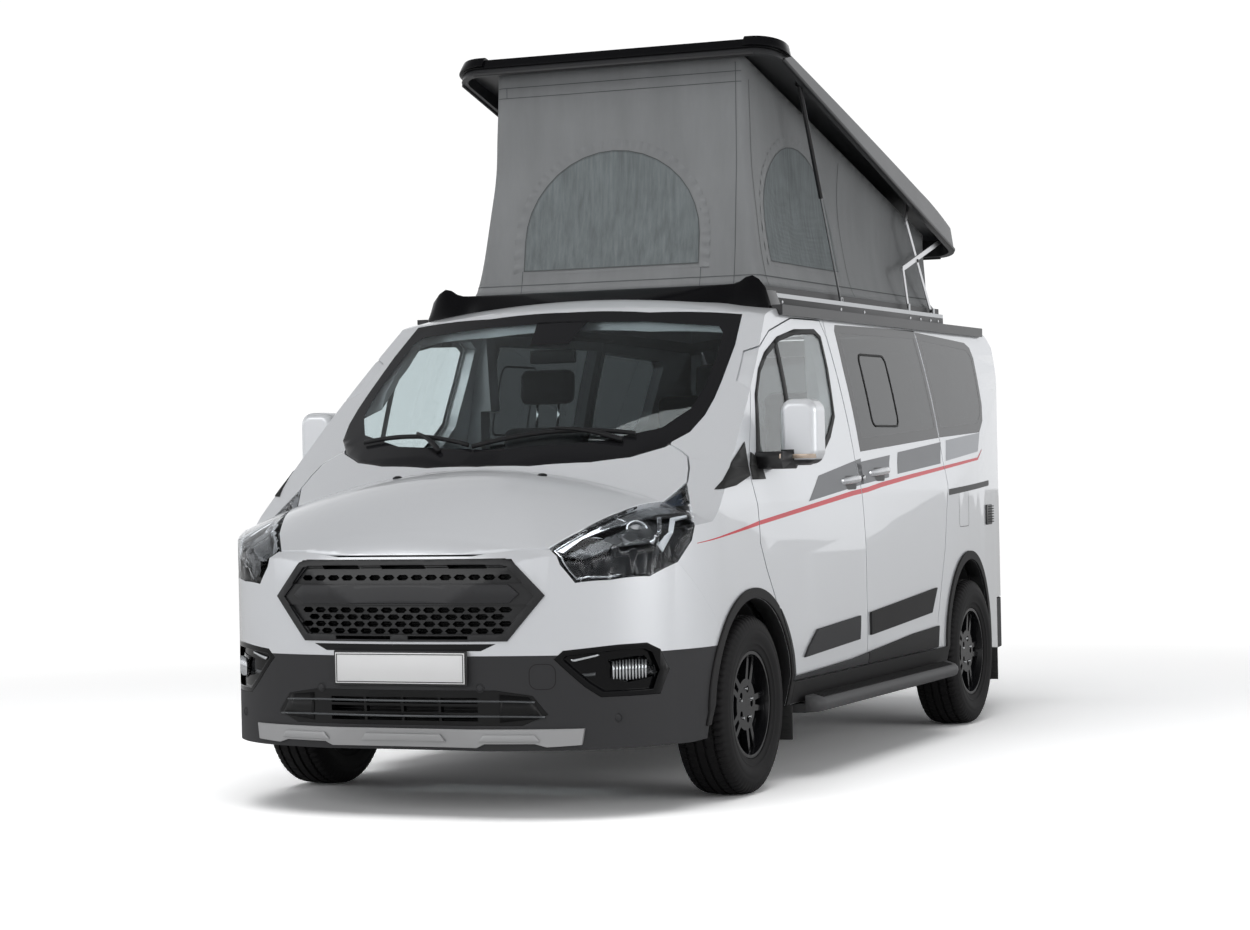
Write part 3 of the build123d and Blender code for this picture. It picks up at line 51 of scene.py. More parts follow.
WELD, TOUCH = 0.00002, 0.000001          # metres: points that are one, points on a cut

# ------------------------------------------------------------------ studio
# A pale floor that runs out of sight under white air, large soft lights overhead, ahead
# and to one side, and the camera a little above the height of the bonnet.

def link(name, mesh, finishes=(), smooth=True):
    """New object at the origin from a bmesh, with its materials."""
    data = bpy.data.meshes.new(name)
    mesh.to_mesh(data)
    mesh.free()
    piece = bpy.data.objects.new(name, data)
    scene.collection.objects.link(piece)
    for finish in finishes:
        data.materials.append(finish)
    if smooth:
        data.shade_smooth()
    return piece


def plain(name, colour, roughness, **sockets):
    """Material whose sockets hold one value each."""
    finish = bpy.data.materials.new(name)
    finish.use_nodes = True
    shader = finish.node_tree.nodes["Principled BSDF"]
    shader.inputs["Base Color"].default_value = (*colour, 1.0)
    shader.inputs["Roughness"].default_value = roughness
    for socket, value in sockets.items():
        shader.inputs[socket.replace("_", " ")].default_value = value
    return finish


def shader_node(tree, kind, values=(), **settings):
    """New shader node with its settings, and values on its sockets."""
    made = tree.nodes.new(f"ShaderNode{kind}")
    for setting, value in settings.items():
        setattr(made, setting, value)
    for socket, value in dict(values).items():
        made.inputs[socket].default_value = value
    return made


def wire(tree, *joins):
    """Join sockets, each join given as (node, output, node, input)."""
    for start, output, end, socket in joins:
        tree.links.new(start.outputs[output], end.inputs[socket])


FLOOR_HALF, GLOW_FROM, GLOW_FULL = 90.0, 3.8, 7.2       # metres from the van's middle
GLOW_LIT, GLOW_SEEN = 0.47, 0.55        # far paper's light on the van, and more for the eye
WHITE = (1.0, 1.0, 1.0, 1.0)
floor_mesh = bmesh.new()
bmesh.ops.create_grid(floor_mesh, x_segments=2, y_segments=2, size=FLOOR_HALF)
paper = plain("studio_paper", (0.55, 0.55, 0.55), 0.9)
tree = paper.node_tree
seen_paper = shader_node(tree, "BsdfDiffuse", {"Color": (1.35, 1.35, 1.35, 1.0)})
looks = shader_node(tree, "LightPath")
near = shader_node(tree, "MixShader")
# far from the van the paper glows, so it has no horizon
place = shader_node(tree, "TexCoord")
reach = shader_node(tree, "VectorMath", operation="LENGTH")
fade = shader_node(tree, "MapRange", {"From Min": GLOW_FROM, "From Max": GLOW_FULL})
strength = shader_node(tree, "Math", {1: GLOW_SEEN, 2: GLOW_LIT}, operation="MULTIPLY_ADD")
glow = shader_node(tree, "Emission", {"Color": WHITE})
whole = shader_node(tree, "MixShader")
wire(tree, (looks, "Is Camera Ray", near, 0), (tree.nodes["Principled BSDF"], 0, near, 1),
     (seen_paper, 0, near, 2), (looks, "Is Camera Ray", strength, 0),
     (strength, 0, glow, "Strength"), (place, "Object", reach, 0),
     (reach, "Value", fade, "Value"), (fade, "Result", whole, 0), (near, 0, whole, 1),
     (glow, 0, whole, 2), (whole, 0, tree.nodes["Material Output"], 0))
link("studio_floor", floor_mesh, [paper])


def soft_light(name, place, target, width, height, power):
    """Rectangular light aimed at a point."""
    lamp = bpy.data.lights.new(name, "AREA")
    lamp.shape = "RECTANGLE"
    lamp.size = width
    lamp.size_y = height
    lamp.energy = power
    holder = bpy.data.objects.new(name, lamp)
    scene.collection.objects.link(holder)
    holder.location = place
    aim = Vector(target) - Vector(place)
    holder.rotation_euler = aim.to_track_quat("-Z", "Y").to_euler()
    return holder


overhead = soft_light("light_overhead", (0.0, -3.0, 9.0), (0.0, 0.0, 0.5), 10.0, 8.0, 760.0)
overhead.visible_glossy = False
soft_light("light_front", (-5.0, -10.0, 5.5), (0.0, -1.0, 1.0), 5.0, 3.0, 110.0)
soft_light("light_side", (10.5, -2.0, 3.2), (0.0, 1.0, 1.0), 6.0, 3.0, 190.0)

# white air: the camera sees it flat, gloss sees it bright low down and dark overhead
SKY = [(0.0, 1.0), (0.22, 0.96), (0.42, 0.50), (0.62, 0.26), (0.80, 0.12), (1.0, 0.10)]
world = bpy.data.worlds.new("studio_air")
scene.world = world
world.use_nodes = True
tree = world.node_tree
place = shader_node(tree, "TexCoord")
split = shader_node(tree, "SeparateXYZ")
ramp = shader_node(tree, "ValToRGB")
for number, (height, light) in enumerate(SKY):
    stop = (ramp.color_ramp.elements[number] if number < 2
            else ramp.color_ramp.elements.new(height))
    stop.position = height
    stop.color = (light * 0.985, light * 0.995, light * 1.01, 1.0)
air = tree.nodes["Background"]
air.inputs["Strength"].default_value = 1.0
seen_air = shader_node(tree, "Background", {"Color": WHITE, "Strength": 1.05})
looks = shader_node(tree, "LightPath")
both = shader_node(tree, "MixShader")
wire(tree, (place, "Generated", split, 0), (split, "Z", ramp, 0), (ramp, "Color", air, "Color"),
     (looks, "Is Camera Ray", both, 0), (air, 0, both, 1), (seen_air, 0, both, 2),
     (both, 0, tree.nodes["World Output"], "Surface"))

CAMERA_PLACE = Vector((4.8156, -11.6275, 1.2698))
CAMERA_TURN, CAMERA_RISE, CAMERA_ROLL = (math.radians(a) for a in (23.2246, 0.0747, -1.2033))
camera_data = bpy.data.cameras.new("camera")
camera_data.sensor_width = 36.0
camera_data.lens = 82.69
camera_data.clip_end = 200.0
camera = bpy.data.objects.new("camera", camera_data)
scene.collection.objects.link(camera)
backward = Vector((math.sin(CAMERA_TURN) * math.cos(CAMERA_RISE),
                   -math.cos(CAMERA_TURN) * math.cos(CAMERA_RISE), math.sin(CAMERA_RISE)))
level_right = (-backward).cross(Vector((0, 0, 1))).normalized()
level_up = level_right.cross(-backward)
right = math.cos(CAMERA_ROLL) * level_right + math.sin(CAMERA_ROLL) * level_up
upward = math.cos(CAMERA_ROLL) * level_up - math.sin(CAMERA_ROLL) * level_right
turn = Matrix((right, upward, backward)).transposed().to_4x4()
camera.matrix_world = Matrix.Translation(CAMERA_PLACE) @ turn
scene.camera = camera
scene.view_settings.view_transform = "Standard"

# ------------------------------------------------------------------ painted panels
# Pressed steel panels in silver metallic paint under clear lacquer.  Their edges are
# folded, so a narrow round runs along every shut line.
grain_group = bpy.data.node_groups.new("surface_grain", "ShaderNodeTree")
for socket, kind, value in [("Colour", "Color", (0.5, 0.5, 0.5, 1.0)), ("Variation", "Float", 0.1),
                            ("Scale", "Float", 400.0), ("Patch Scale", "Float", 3.0),
                            ("Roughness", "Float", 0.5), ("Roughness Variation", "Float", 0.1)]:
    made = grain_group.interface.new_socket(socket, in_out="INPUT",
                                            socket_type=f"NodeSocket{kind}")
    made.default_value = value
for socket, kind in (("Colour", "Color"), ("Roughness", "Float"), ("Height", "Float")):
    grain_group.interface.new_socket(socket, in_out="OUTPUT", socket_type=f"NodeSocket{kind}")
grain_in = grain_group.nodes.new("NodeGroupInput")
grain_out = grain_group.nodes.new("NodeGroupOutput")
# fine grain for height, slow patches for colour and roughness
place = shader_node(grain_group, "TexCoord")
fine = shader_node(grain_group, "TexNoise", {"Detail": 3.0})
slow = shader_node(grain_group, "TexNoise", {"Detail": 4.0})
centred = shader_node(grain_group, "Math", {1: 0.5}, operation="SUBTRACT")
tint = shader_node(grain_group, "Math", {2: 1.0}, operation="MULTIPLY_ADD")
shade = shader_node(grain_group, "VectorMath", operation="SCALE")
gloss = shader_node(grain_group, "Math", operation="MULTIPLY_ADD")
wire(grain_group, (place, "Object", fine, "Vector"), (place, "Object", slow, "Vector"),
     (grain_in, "Scale", fine, "Scale"), (grain_in, "Patch Scale", slow, "Scale"),
     (slow, "Fac", centred, 0), (centred, 0, tint, 0), (grain_in, "Variation", tint, 1),
     (grain_in, "Colour", shade, 0), (tint, 0, shade, "Scale"), (centred, 0, gloss, 0),
     (grain_in, "Roughness Variation", gloss, 1), (grain_in, "Roughness", gloss, 2),
     (shade, 0, grain_out, "Colour"), (gloss, 0, grain_out, "Roughness"),
     (fine, "Fac", grain_out, "Height"))


def grained(name, colour, roughness, scale=400.0, depth=0.00005, variation=0.1,
            patches=3.0, uneven=0.08, **sockets):
    """Material of one colour with fine grain, slow patches and its own gloss."""
    finish = plain(name, colour, roughness, **sockets)
    tree = finish.node_tree
    shader = tree.nodes["Principled BSDF"]
    grain = shader_node(tree, "Group", {
        "Colour": (*colour, 1.0), "Variation": variation, "Scale": scale,
        "Patch Scale": patches, "Roughness": roughness, "Roughness Variation": uneven},
        node_tree=grain_group)
    bump = shader_node(tree, "Bump", {"Distance": depth})
    wire(tree, (grain, "Colour", shader, "Base Color"), (grain, "Roughness", shader, "Roughness"),
         (grain, "Height", bump, "Height"), (bump, "Normal", shader, "Normal"))
    return finish


silver_paint = grained("silver_metallic_paint", (0.76, 0.775, 0.80), 0.38, scale=2200.0,
                       depth=0.000012, variation=0.03, patches=1.5, uneven=0.03,
                       Metallic=0.55, Coat_Weight=1.0, Coat_Roughness=0.03)


def round_edges(piece, width, segments=2, angle=None):
    """Narrow round on a piece's sharp edges; angle says from how many degrees on."""
    bevel = piece.modifiers.new("round", "BEVEL")
    bevel.width = width
    bevel.segments = segments
    bevel.limit_method = "ANGLE"
    if angle:
        bevel.angle_limit = math.radians(angle)


def dress(names, finish, round_width=0.0, segments=2):
    """Give CAD pieces their material and, on pressed or moulded edges, a small round."""
    for name in names:
        piece = nodes[name]
        piece.data.materials.clear()
        piece.data.materials.append(finish)
        if round_width:
            piece.modifiers.new("weld", "WELD").merge_threshold = WELD
            round_edges(piece, round_width, segments, 40.0)
            piece.modifiers.new("shade", "WEIGHTED_NORMAL").weight = 80


PAINTED = ["bonnet", "wings", "body_side_left", "body_side_right", "door_left", "door_right",
           "sliding_doors", "roof_panel", "tailgate", "front_bumper"]
dress(PAINTED, silver_paint, 0.002)

# ------------------------------------------------------------------ laid-on trim
# Films, seals and mouldings that lie on a panel: each is cut from a copy of the panel's
# own outer face, so it follows the panel's curve, and it moves with the panel's body.
# Helpers that other sections share stand here too.

def merged(node):
    """Copy of a CAD piece's mesh with its loose triangles joined."""
    mesh = bmesh.new()
    mesh.from_mesh(nodes[node].data)
    bmesh.ops.remove_doubles(mesh, verts=mesh.verts, dist=WELD)
    return mesh


def keep_faces(mesh, wanted):
    """Delete the faces that a test turns down."""
    away = [face for face in mesh.faces if not wanted(face)]
    bmesh.ops.delete(mesh, geom=away, context="FACES")
    return mesh


def skin(node, facing, least=0.3):
    """A CAD piece's faces that look one way, on that side of the van."""
    direction = Vector(facing).normalized()
    return keep_faces(merged(node), lambda face: face.normal.dot(direction) >= least
                      and facing[0] * face.calc_center_median().x >= 0)


def cut(mesh, place, outward, clear=True, near=TOUCH):
    """Cut a mesh along a plane, and clear what lies beyond it if asked."""
    bmesh.ops.bisect_plane(mesh, geom=mesh.verts[:] + mesh.edges[:] + mesh.faces[:],
                           dist=near, plane_co=place, plane_no=outward, clear_outer=clear)


def turns_left(outline):
    """Whether an outline runs anticlockwise."""
    return sum(a[0] * b[1] - b[0] * a[1] for a, b in zip(outline, outline[1:] + outline[:1])) > 0


def trim_to(mesh, outline, axis, inside=True):
    """Cut a skin along a convex outline seen along an axis; keep its inside or outside."""
    turning = 1 if turns_left(outline) else -1
    across_axis, up_axis = [k for k in range(3) if k != axis]
    cuts = []
    for start, end in zip(outline, outline[1:] + outline[:1]):
        place, outward = Vector((0, 0, 0)), Vector((0, 0, 0))
        place[across_axis], place[up_axis] = start
        outward[across_axis] = turning * (end[1] - start[1])
        outward[up_axis] = turning * (start[0] - end[0])
        cuts.append((place, outward))
        cut(mesh, place, outward, inside)
    return mesh if inside else uncovered(mesh, cuts)


def uncovered(mesh, cuts):
    """Keep the faces that lie beyond at least one of the cutting planes."""
    return keep_faces(mesh, lambda face: any(
        (face.calc_center_median() - place).dot(outward) >= 0 for place, outward in cuts))


def between(mesh, outer, inner, axis):
    """Keep the ring of a skin that lies between two convex outlines."""
    return trim_to(trim_to(mesh, outer, axis), inner, axis, inside=False)


def joined(parts):
    """One bmesh from several, which are freed."""
    whole = bmesh.new()
    for part in parts:
        carrier = bpy.data.meshes.new("carrier")
        part.to_mesh(carrier)
        part.free()
        whole.from_mesh(carrier)
        bpy.data.meshes.remove(carrier)
    return whole


def fitted(name, mesh, finish, body, thickness=0.0, round_width=0.0, smooth=True,
           offset=1.0, angle=50.0, crease=0.0):
    """Piece that rides on a body, given a wall, rounded edges or sharp creases if asked."""
    piece = link(name, mesh, [finish], smooth)
    if thickness:
        wall = piece.modifiers.new("wall", "SOLIDIFY")
        wall.thickness, wall.offset = thickness, offset
    if round_width:
        round_edges(piece, round_width, angle=angle)
    if crease:
        piece.modifiers.new("edges", "EDGE_SPLIT").split_angle = math.radians(crease)
    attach(piece, body)
    return piece


def lay(name, mesh, finish, body, lift=0.0006, **shape):
    """Finished piece from a skin: lifted off its panel, or raised to a thickness."""
    bmesh.ops.remove_doubles(mesh, verts=mesh.verts, dist=0.00001)
    mesh.normal_update()
    for vert in mesh.verts:
        vert.co += vert.normal * lift
    return fitted(name, mesh, finish, body, **shape)


def outwards(mesh):
    """Turn all faces of a mesh outwards."""
    bmesh.ops.recalc_face_normals(mesh, faces=mesh.faces)
    return mesh


def about(pivot, matrix):
    """A turn about a point."""
    return Matrix.Translation(pivot) @ matrix @ Matrix.Translation(-Vector(pivot))


def bridged(mesh, sections):
    """Add a skin over matching rings of points, capped at both ends."""
    rings = [[mesh.verts.new(point) for point in ring] for ring in sections]
    loops = [[mesh.edges.new(ends) for ends in zip(ring, ring[1:] + ring[:1])]
             for ring in rings]
    for first, second in zip(loops, loops[1:]):
        bmesh.ops.bridge_loops(mesh, edges=first + second)
    for ring in (rings[0], rings[-1]):
        mesh.faces.new(ring)
    return mesh


def span(sign, near, far):
    """The two x limits of a piece on one side of the van, lowest first."""
    return sorted((sign * near, sign * far))


SIDES = (("left", 1), ("right", -1))

PANELS = {                      # panel: (node, body)
    "wing": ("wings", "van"), "slide": ("sliding_doors", "van"),
    "door_left": ("door_left", "door_left"), "door_right": ("door_right", "door_right"),
    "side_left": ("body_side_left", "van"), "side_right": ("body_side_right", "van")}

# --- waist stripe and dark blocks: cast film, as (y, z) from the side
STRIPE_POINTS = [(-1.956, 0.967), (-1.589, 1.003), (-1.387, 1.024), (-0.257, 1.116),
                 (-0.047, 1.128), (0.150, 1.146), (0.611, 1.178), (1.135, 1.211),
                 (1.700, 1.247), (1.790, 1.290)]
STRIPE_WIDTHS = [0.002, 0.010, 0.016, 0.020, 0.020, 0.020, 0.018, 0.015, 0.012, 0.008]
red_film = grained("red_film", (0.60, 0.006, 0.022), 0.34, depth=0.00001, variation=0.04,
                   Coat_Weight=0.2, Coat_Roughness=0.08)
dark_film = grained("dark_grey_film", (0.060, 0.065, 0.075), 0.34, depth=0.00001,
                    variation=0.08, Coat_Weight=0.35, Coat_Roughness=0.06)
pale_film = grained("pale_grey_film", (0.25, 0.26, 0.28), 0.30, depth=0.00001,
                    variation=0.05, Metallic=0.5, Coat_Weight=0.35, Coat_Roughness=0.06)
BLOCKS = [                      # outline, film
    ([(-0.804, 1.094), (-0.637, 1.195), (-0.058, 1.261), (-0.085, 1.153)], dark_film),
    ([(-0.120, 1.150), (-0.120, 1.243), (0.348, 1.273), (0.273, 1.176)], dark_film),
    ([(0.404, 1.189), (0.464, 1.284), (1.135, 1.328), (1.078, 1.229)], dark_film),
    ([(1.169, 1.240), (1.222, 1.336), (1.800, 1.372), (1.716, 1.281)], pale_film)]


def band(points, widths):
    """Convex pieces of a band that widens along its points."""
    return [[(y0, z0 - w0 / 2), (y1, z1 - w1 / 2), (y1, z1 + w1 / 2), (y0, z0 + w0 / 2)]
            for (y0, z0), (y1, z1), w0, w1 in zip(points, points[1:], widths, widths[1:])]


def side_panels(side):
    """Panels along one side of the van, from the nose back."""
    return [PANELS["wing"], PANELS[f"door_{side}"], PANELS["slide"], PANELS[f"side_{side}"]]


def laid_parts(node, facing, outlines):
    """Pieces of a panel's skin under the outlines that reach it."""
    (_, low, _), (_, high, _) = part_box(node)
    parts = []
    for outline in outlines:
        if max(p[0] for p in outline) < low or min(p[0] for p in outline) > high:
            continue
        part = trim_to(skin(node, facing), outline, 0)
        if len(part.faces):
            parts.append(part)
        else:
            part.free()
    return parts


for side, sign in SIDES:
    for node, body in side_panels(side):
        parts = laid_parts(node, (sign, 0, 0), band(STRIPE_POINTS, STRIPE_WIDTHS))
        if parts:
            lay(f"waist_stripe_{node}_{side}", joined(parts), red_film, body)
        for number, (outline, film) in enumerate(BLOCKS):
            parts = laid_parts(node, (sign, 0, 0), [outline])
            if parts:
                lay(f"waist_block_{number}_{node}_{side}", joined(parts), film, body)

# ------------------------------------------------------------------ glass
# Laminated windscreen and tempered panes, bonded or in rubber.  Black ceramic paint is
# fired on round their edges; the living-space panes are dark.
clear_glass = plain("clear_glass", (0.90, 0.96, 0.96), 0.0, Transmission_Weight=1.0, IOR=1.45)
screen_glass = plain("windscreen_glass", (0.80, 0.87, 0.88), 0.0, Transmission_Weight=1.0,
                     IOR=1.5)
dark_glass = plain("dark_glass", (0.055, 0.06, 0.062), 0.0, Transmission_Weight=1.0, IOR=1.5)
black_frit = grained("black_ceramic_border", (0.008, 0.008, 0.009), 0.12, depth=0.000005,
                     variation=0.05, uneven=0.03)
dress(["windscreen"], screen_glass)
dress(["door_glass_left", "door_glass_right"], clear_glass)
dress(["side_glass", "tailgate_glass"], dark_glass)

SCREEN_CLEAR = [(-0.640, 1.395), (-0.420, 1.345), (0.0, 1.325), (0.420, 1.345),
                (0.640, 1.395), (0.712, 1.470), (0.722, 1.560), (0.712, 1.660),
                (0.690, 1.770), (0.662, 1.800), (0.350, 1.828), (0.0, 1.836),
                (-0.350, 1.828), (-0.662, 1.800), (-0.690, 1.770), (-0.712, 1.660),
                (-0.722, 1.560), (-0.712, 1.470)]
lay("windscreen_border", trim_to(skin("windscreen", (0, -0.6, 0.6)), SCREEN_CLEAR, 1,
                                 inside=False), black_frit, "van", lift=0.0004)
SENSOR_PATCH = [(-0.115, 1.842), (0.115, 1.842), (0.085, 1.745), (-0.085, 1.745)]
lay("windscreen_sensor_patch", trim_to(skin("windscreen", (0, -0.6, 0.6)), SENSOR_PATCH, 1),
    black_frit, "van", lift=0.0004)

REAR_PANE_CLEAR = {             # (y, z): clear part of each dark pane
    "slide": [(0.006, 1.345), (0.0, 1.640), (0.010, 1.790), (0.022, 1.797),
              (1.072, 1.806), (1.072, 1.392)],
    "quarter": [(1.172, 1.395), (1.172, 1.800), (1.880, 1.775), (1.930, 1.750),
                (1.944, 1.730), (1.900, 1.520), (1.858, 1.455), (1.785, 1.418)]}
SPLIT_Y = 1.122
for side, sign in SIDES:
    for pane, clear in REAR_PANE_CLEAR.items():
        glass = skin("side_glass", (sign, 0, 0))
        cut(glass, (0, SPLIT_Y, 0), (0, 1 if pane == "slide" else -1, 0))
        lay(f"{pane}_pane_border_{side}", trim_to(glass, clear, 0, inside=False), black_frit,
            "van", lift=0.0004)

# the sliding pane in the side window: a thin black seal round a rounded rectangle
def rounded(y_low, y_high, z_low, z_high, radius, steps=5):
    """Rectangular (y, z) outline with rounded corners."""
    corners = [(y_high - radius, z_high - radius, 0), (y_low + radius, z_high - radius, 90),
               (y_low + radius, z_low + radius, 180), (y_high - radius, z_low + radius, 270)]
    points = []
    for y, z, start in corners:
        for step in range(steps + 1):
            angle = math.radians(start + 90 * step / steps)
            points.append((y + radius * math.cos(angle), z + radius * math.sin(angle)))
    return points


def rounded_pair(y_low, y_high, z_low, z_high, radius, width, inner_radius):
    """Outer and inner outline of a rounded ring of an even width."""
    return [rounded(y_low + inset, y_high - inset, z_low + inset, z_high - inset, corner)
            for inset, corner in ((0.0, radius), (width, inner_radius))]


seal_rubber = grained("seal_rubber", (0.012, 0.012, 0.012), 0.6)
for side, sign in SIDES:
    outer, inner = rounded_pair(0.180, 0.556, 1.395, 1.715, 0.045, 0.009, 0.036)
    lay(f"sliding_pane_seal_{side}", between(skin("side_glass", (sign, 0, 0)), outer, inner, 0),
        seal_rubber, "van", lift=0.0008, thickness=0.002)

# door glass: rubber run round the pane, and the divider ahead of the winding pane
DOOR_CLEAR = [(-1.270, 1.262), (-1.176, 1.512), (-1.085, 1.606), (-0.970, 1.672),
              (-0.780, 1.738), (-0.560, 1.773), (-0.325, 1.782), (-0.272, 1.760),
              (-0.284, 1.640), (-0.328, 1.450), (-0.425, 1.372), (-0.600, 1.275),
              (-0.690, 1.262)]
DIVIDER = [(-0.835, 1.800), (-0.795, 1.800), (-0.862, 1.200), (-0.902, 1.200)]
for side, sign in SIDES:
    border = trim_to(skin(f"door_glass_{side}", (sign, 0, 0)), DOOR_CLEAR, 0, inside=False)
    post = trim_to(skin(f"door_glass_{side}", (sign, 0, 0)), DIVIDER, 0)
    lay(f"door_glass_run_{side}", joined([border, post]), seal_rubber, f"door_{side}",
        lift=0.0006, thickness=0.002)
    sail = [(-1.398, 1.190), (-1.392, 1.245), (-1.298, 1.420), (-1.270, 1.262), (-1.060, 1.190)]
    parts = [trim_to(skin(node, (sign, 0, 0)), sail, 0)
             for node in (f"door_{side}", f"door_glass_{side}")]
    lay(f"mirror_sail_{side}", joined(parts), seal_rubber, f"door_{side}", lift=0.0012,
        thickness=0.003)
    foot = [(-1.736, 1.157), (-1.601, 1.250), (-1.411, 1.335), (-1.411, 1.205), (-1.584, 1.170)]
    parts = [part for node in ("wings", f"body_side_{side}")
             for part in laid_parts(node, (sign, 0, 0), [foot])]
    lay(f"pillar_foot_cover_{side}", joined(parts), seal_rubber, "van", lift=0.001,
        thickness=0.002)

# ------------------------------------------------------------------ tent
# Coated cotton-polyester walls of the sleeping space, sewn from panels and held to the
# roof opening and to the lid.  Arched insect-mesh windows are sewn into three walls.
TENT_FOOT_Z, TENT_LEAN = 1.9853, math.tan(math.radians(5.6))
TENT_HALF, TENT_FRONT, TENT_BACK = 0.668, -0.500, 1.950
TENT_MIDDLE = (TENT_FRONT + TENT_BACK) / 2
TENT_CORNER, TENT_TALL = 0.045, 1.10
LID_UNDER = (0.0, 0.0, 2.004)           # a point of the shut lid's underside
LID_ANGLE = math.radians(15.07)
LID_TURN = Matrix.Rotation(-LID_ANGLE, 4, "X")
LID_CENTRE = Vector((0.0, 3.117, 1.810))


def raised(point):
    """Where a point of the shut lid stands when the roof is up."""
    return LID_CENTRE + LID_TURN @ (Vector(point) - LID_CENTRE)


tent_cloth = grained("tent_cloth", (0.180, 0.186, 0.190), 0.9, scale=1500.0, depth=0.0003,
                     variation=0.16, patches=2.5, Sheen_Weight=0.15)
tent_mesh_cloth = grained("insect_mesh", (0.135, 0.152, 0.156), 0.85, scale=900.0, depth=0.0004,
                          variation=0.30, patches=9.0)
seam_thread = grained("seam_thread", (0.075, 0.08, 0.082), 0.9, scale=3000.0)


def add_weave(finish, threads, depth):
    """Cross-woven threads in the height of a cloth, on top of its grain."""
    tree = finish.node_tree
    grain_bump = next(node for node in tree.nodes if node.type == "BUMP")
    place = shader_node(tree, "TexCoord")
    weave = shader_node(tree, "Math", operation="MAXIMUM")
    for number, turn in enumerate("XZ"):
        wave = shader_node(tree, "TexWave", {"Scale": threads, "Distortion": 1.2, "Detail": 1.0},
                           bands_direction=turn)
        wire(tree, (place, "Object", wave, "Vector"), (wave, "Fac", weave, number))
    bump = shader_node(tree, "Bump", {"Distance": depth})
    wire(tree, (weave, 0, bump, "Height"), (grain_bump, "Normal", bump, "Normal"),
         (bump, "Normal", tree.nodes["Principled BSDF"], "Normal"))


def streak(finish, stretch, strength):
    """Long faint streaks down a hanging cloth, in its colour."""
    tree = finish.node_tree
    shader = tree.nodes["Principled BSDF"]
    colour = shader.inputs["Base Color"].links[0].from_socket
    place = shader_node(tree, "TexCoord")
    drawn = shader_node(tree, "Mapping", {"Scale": stretch})
    streaks = shader_node(tree, "TexNoise", {"Scale": 1.0, "Detail": 5.0, "Roughness": 0.65})
    spread = shader_node(tree, "MapRange", {"From Min": 0.3, "From Max": 0.7,
                                            "To Min": 1.0 - strength, "To Max": 1.0 + strength})
    shade = shader_node(tree, "VectorMath", operation="SCALE")
    tree.links.new(colour, shade.inputs[0])
    wire(tree, (place, "Object", drawn, "Vector"), (drawn, "Vector", streaks, "Vector"),
         (streaks, "Fac", spread, "Value"), (spread, "Result", shade, "Scale"),
         (shade, 0, shader, "Base Color"))


streak(tent_mesh_cloth, (55.0, 55.0, 3.0), 0.22)
streak(tent_cloth, (9.0, 9.0, 1.6), 0.07)
add_weave(tent_cloth, 160.0, 0.0002)
add_weave(tent_mesh_cloth, 90.0, 0.0006)


def tent_walls():
    """Tapered walls from the roof opening up to the lid, slack between their edges."""
    walls = bmesh.new()
    bmesh.ops.create_grid(walls, x_segments=1, y_segments=1, size=1.0)
    bmesh.ops.scale(walls, vec=(TENT_HALF, TENT_BACK - TENT_MIDDLE, 1.0), verts=walls.verts)
    bmesh.ops.bevel(walls, geom=walls.verts[:], affect="VERTICES", offset=TENT_CORNER,
                    segments=4, profile=0.5, material=-1)
    bmesh.ops.delete(walls, geom=walls.faces[:], context="FACES_ONLY")
    long_edges = [edge for edge in walls.edges if edge.calc_length() > 0.5]
    bmesh.ops.subdivide_edges(walls, edges=long_edges, cuts=60)
    bmesh.ops.translate(walls, vec=(0.0, TENT_MIDDLE, TENT_FOOT_Z), verts=walls.verts)
    risen = bmesh.ops.extrude_edge_only(walls, edges=walls.edges[:])
    top = [part for part in risen["geom"] if isinstance(part, bmesh.types.BMVert)]
    shrink = TENT_TALL * TENT_LEAN
    bmesh.ops.translate(walls, vec=(0.0, 0.0, TENT_TALL), verts=top)
    bmesh.ops.scale(walls, vec=(1 - shrink / TENT_HALF,
                                1 - shrink / (TENT_BACK - TENT_MIDDLE), 1.0),
                    space=Matrix.Translation((0.0, -TENT_MIDDLE, 0.0)), verts=top)
    uprights = [edge for edge in walls.edges
                if abs(edge.verts[0].co.z - edge.verts[1].co.z) > 0.5]
    bmesh.ops.subdivide_edges(walls, edges=uprights, cuts=44, use_grid_fill=True)
    cut(walls, raised(LID_UNDER), LID_TURN.to_3x3() @ Vector((0, 0, 1)), near=0.00001)
    return outwards(walls)


def lid_height(y):
    """Height of the lid's underside over a point of the raised tent."""
    under = raised(LID_UNDER)
    return under.z - math.tan(LID_ANGLE) * (y - under.y)


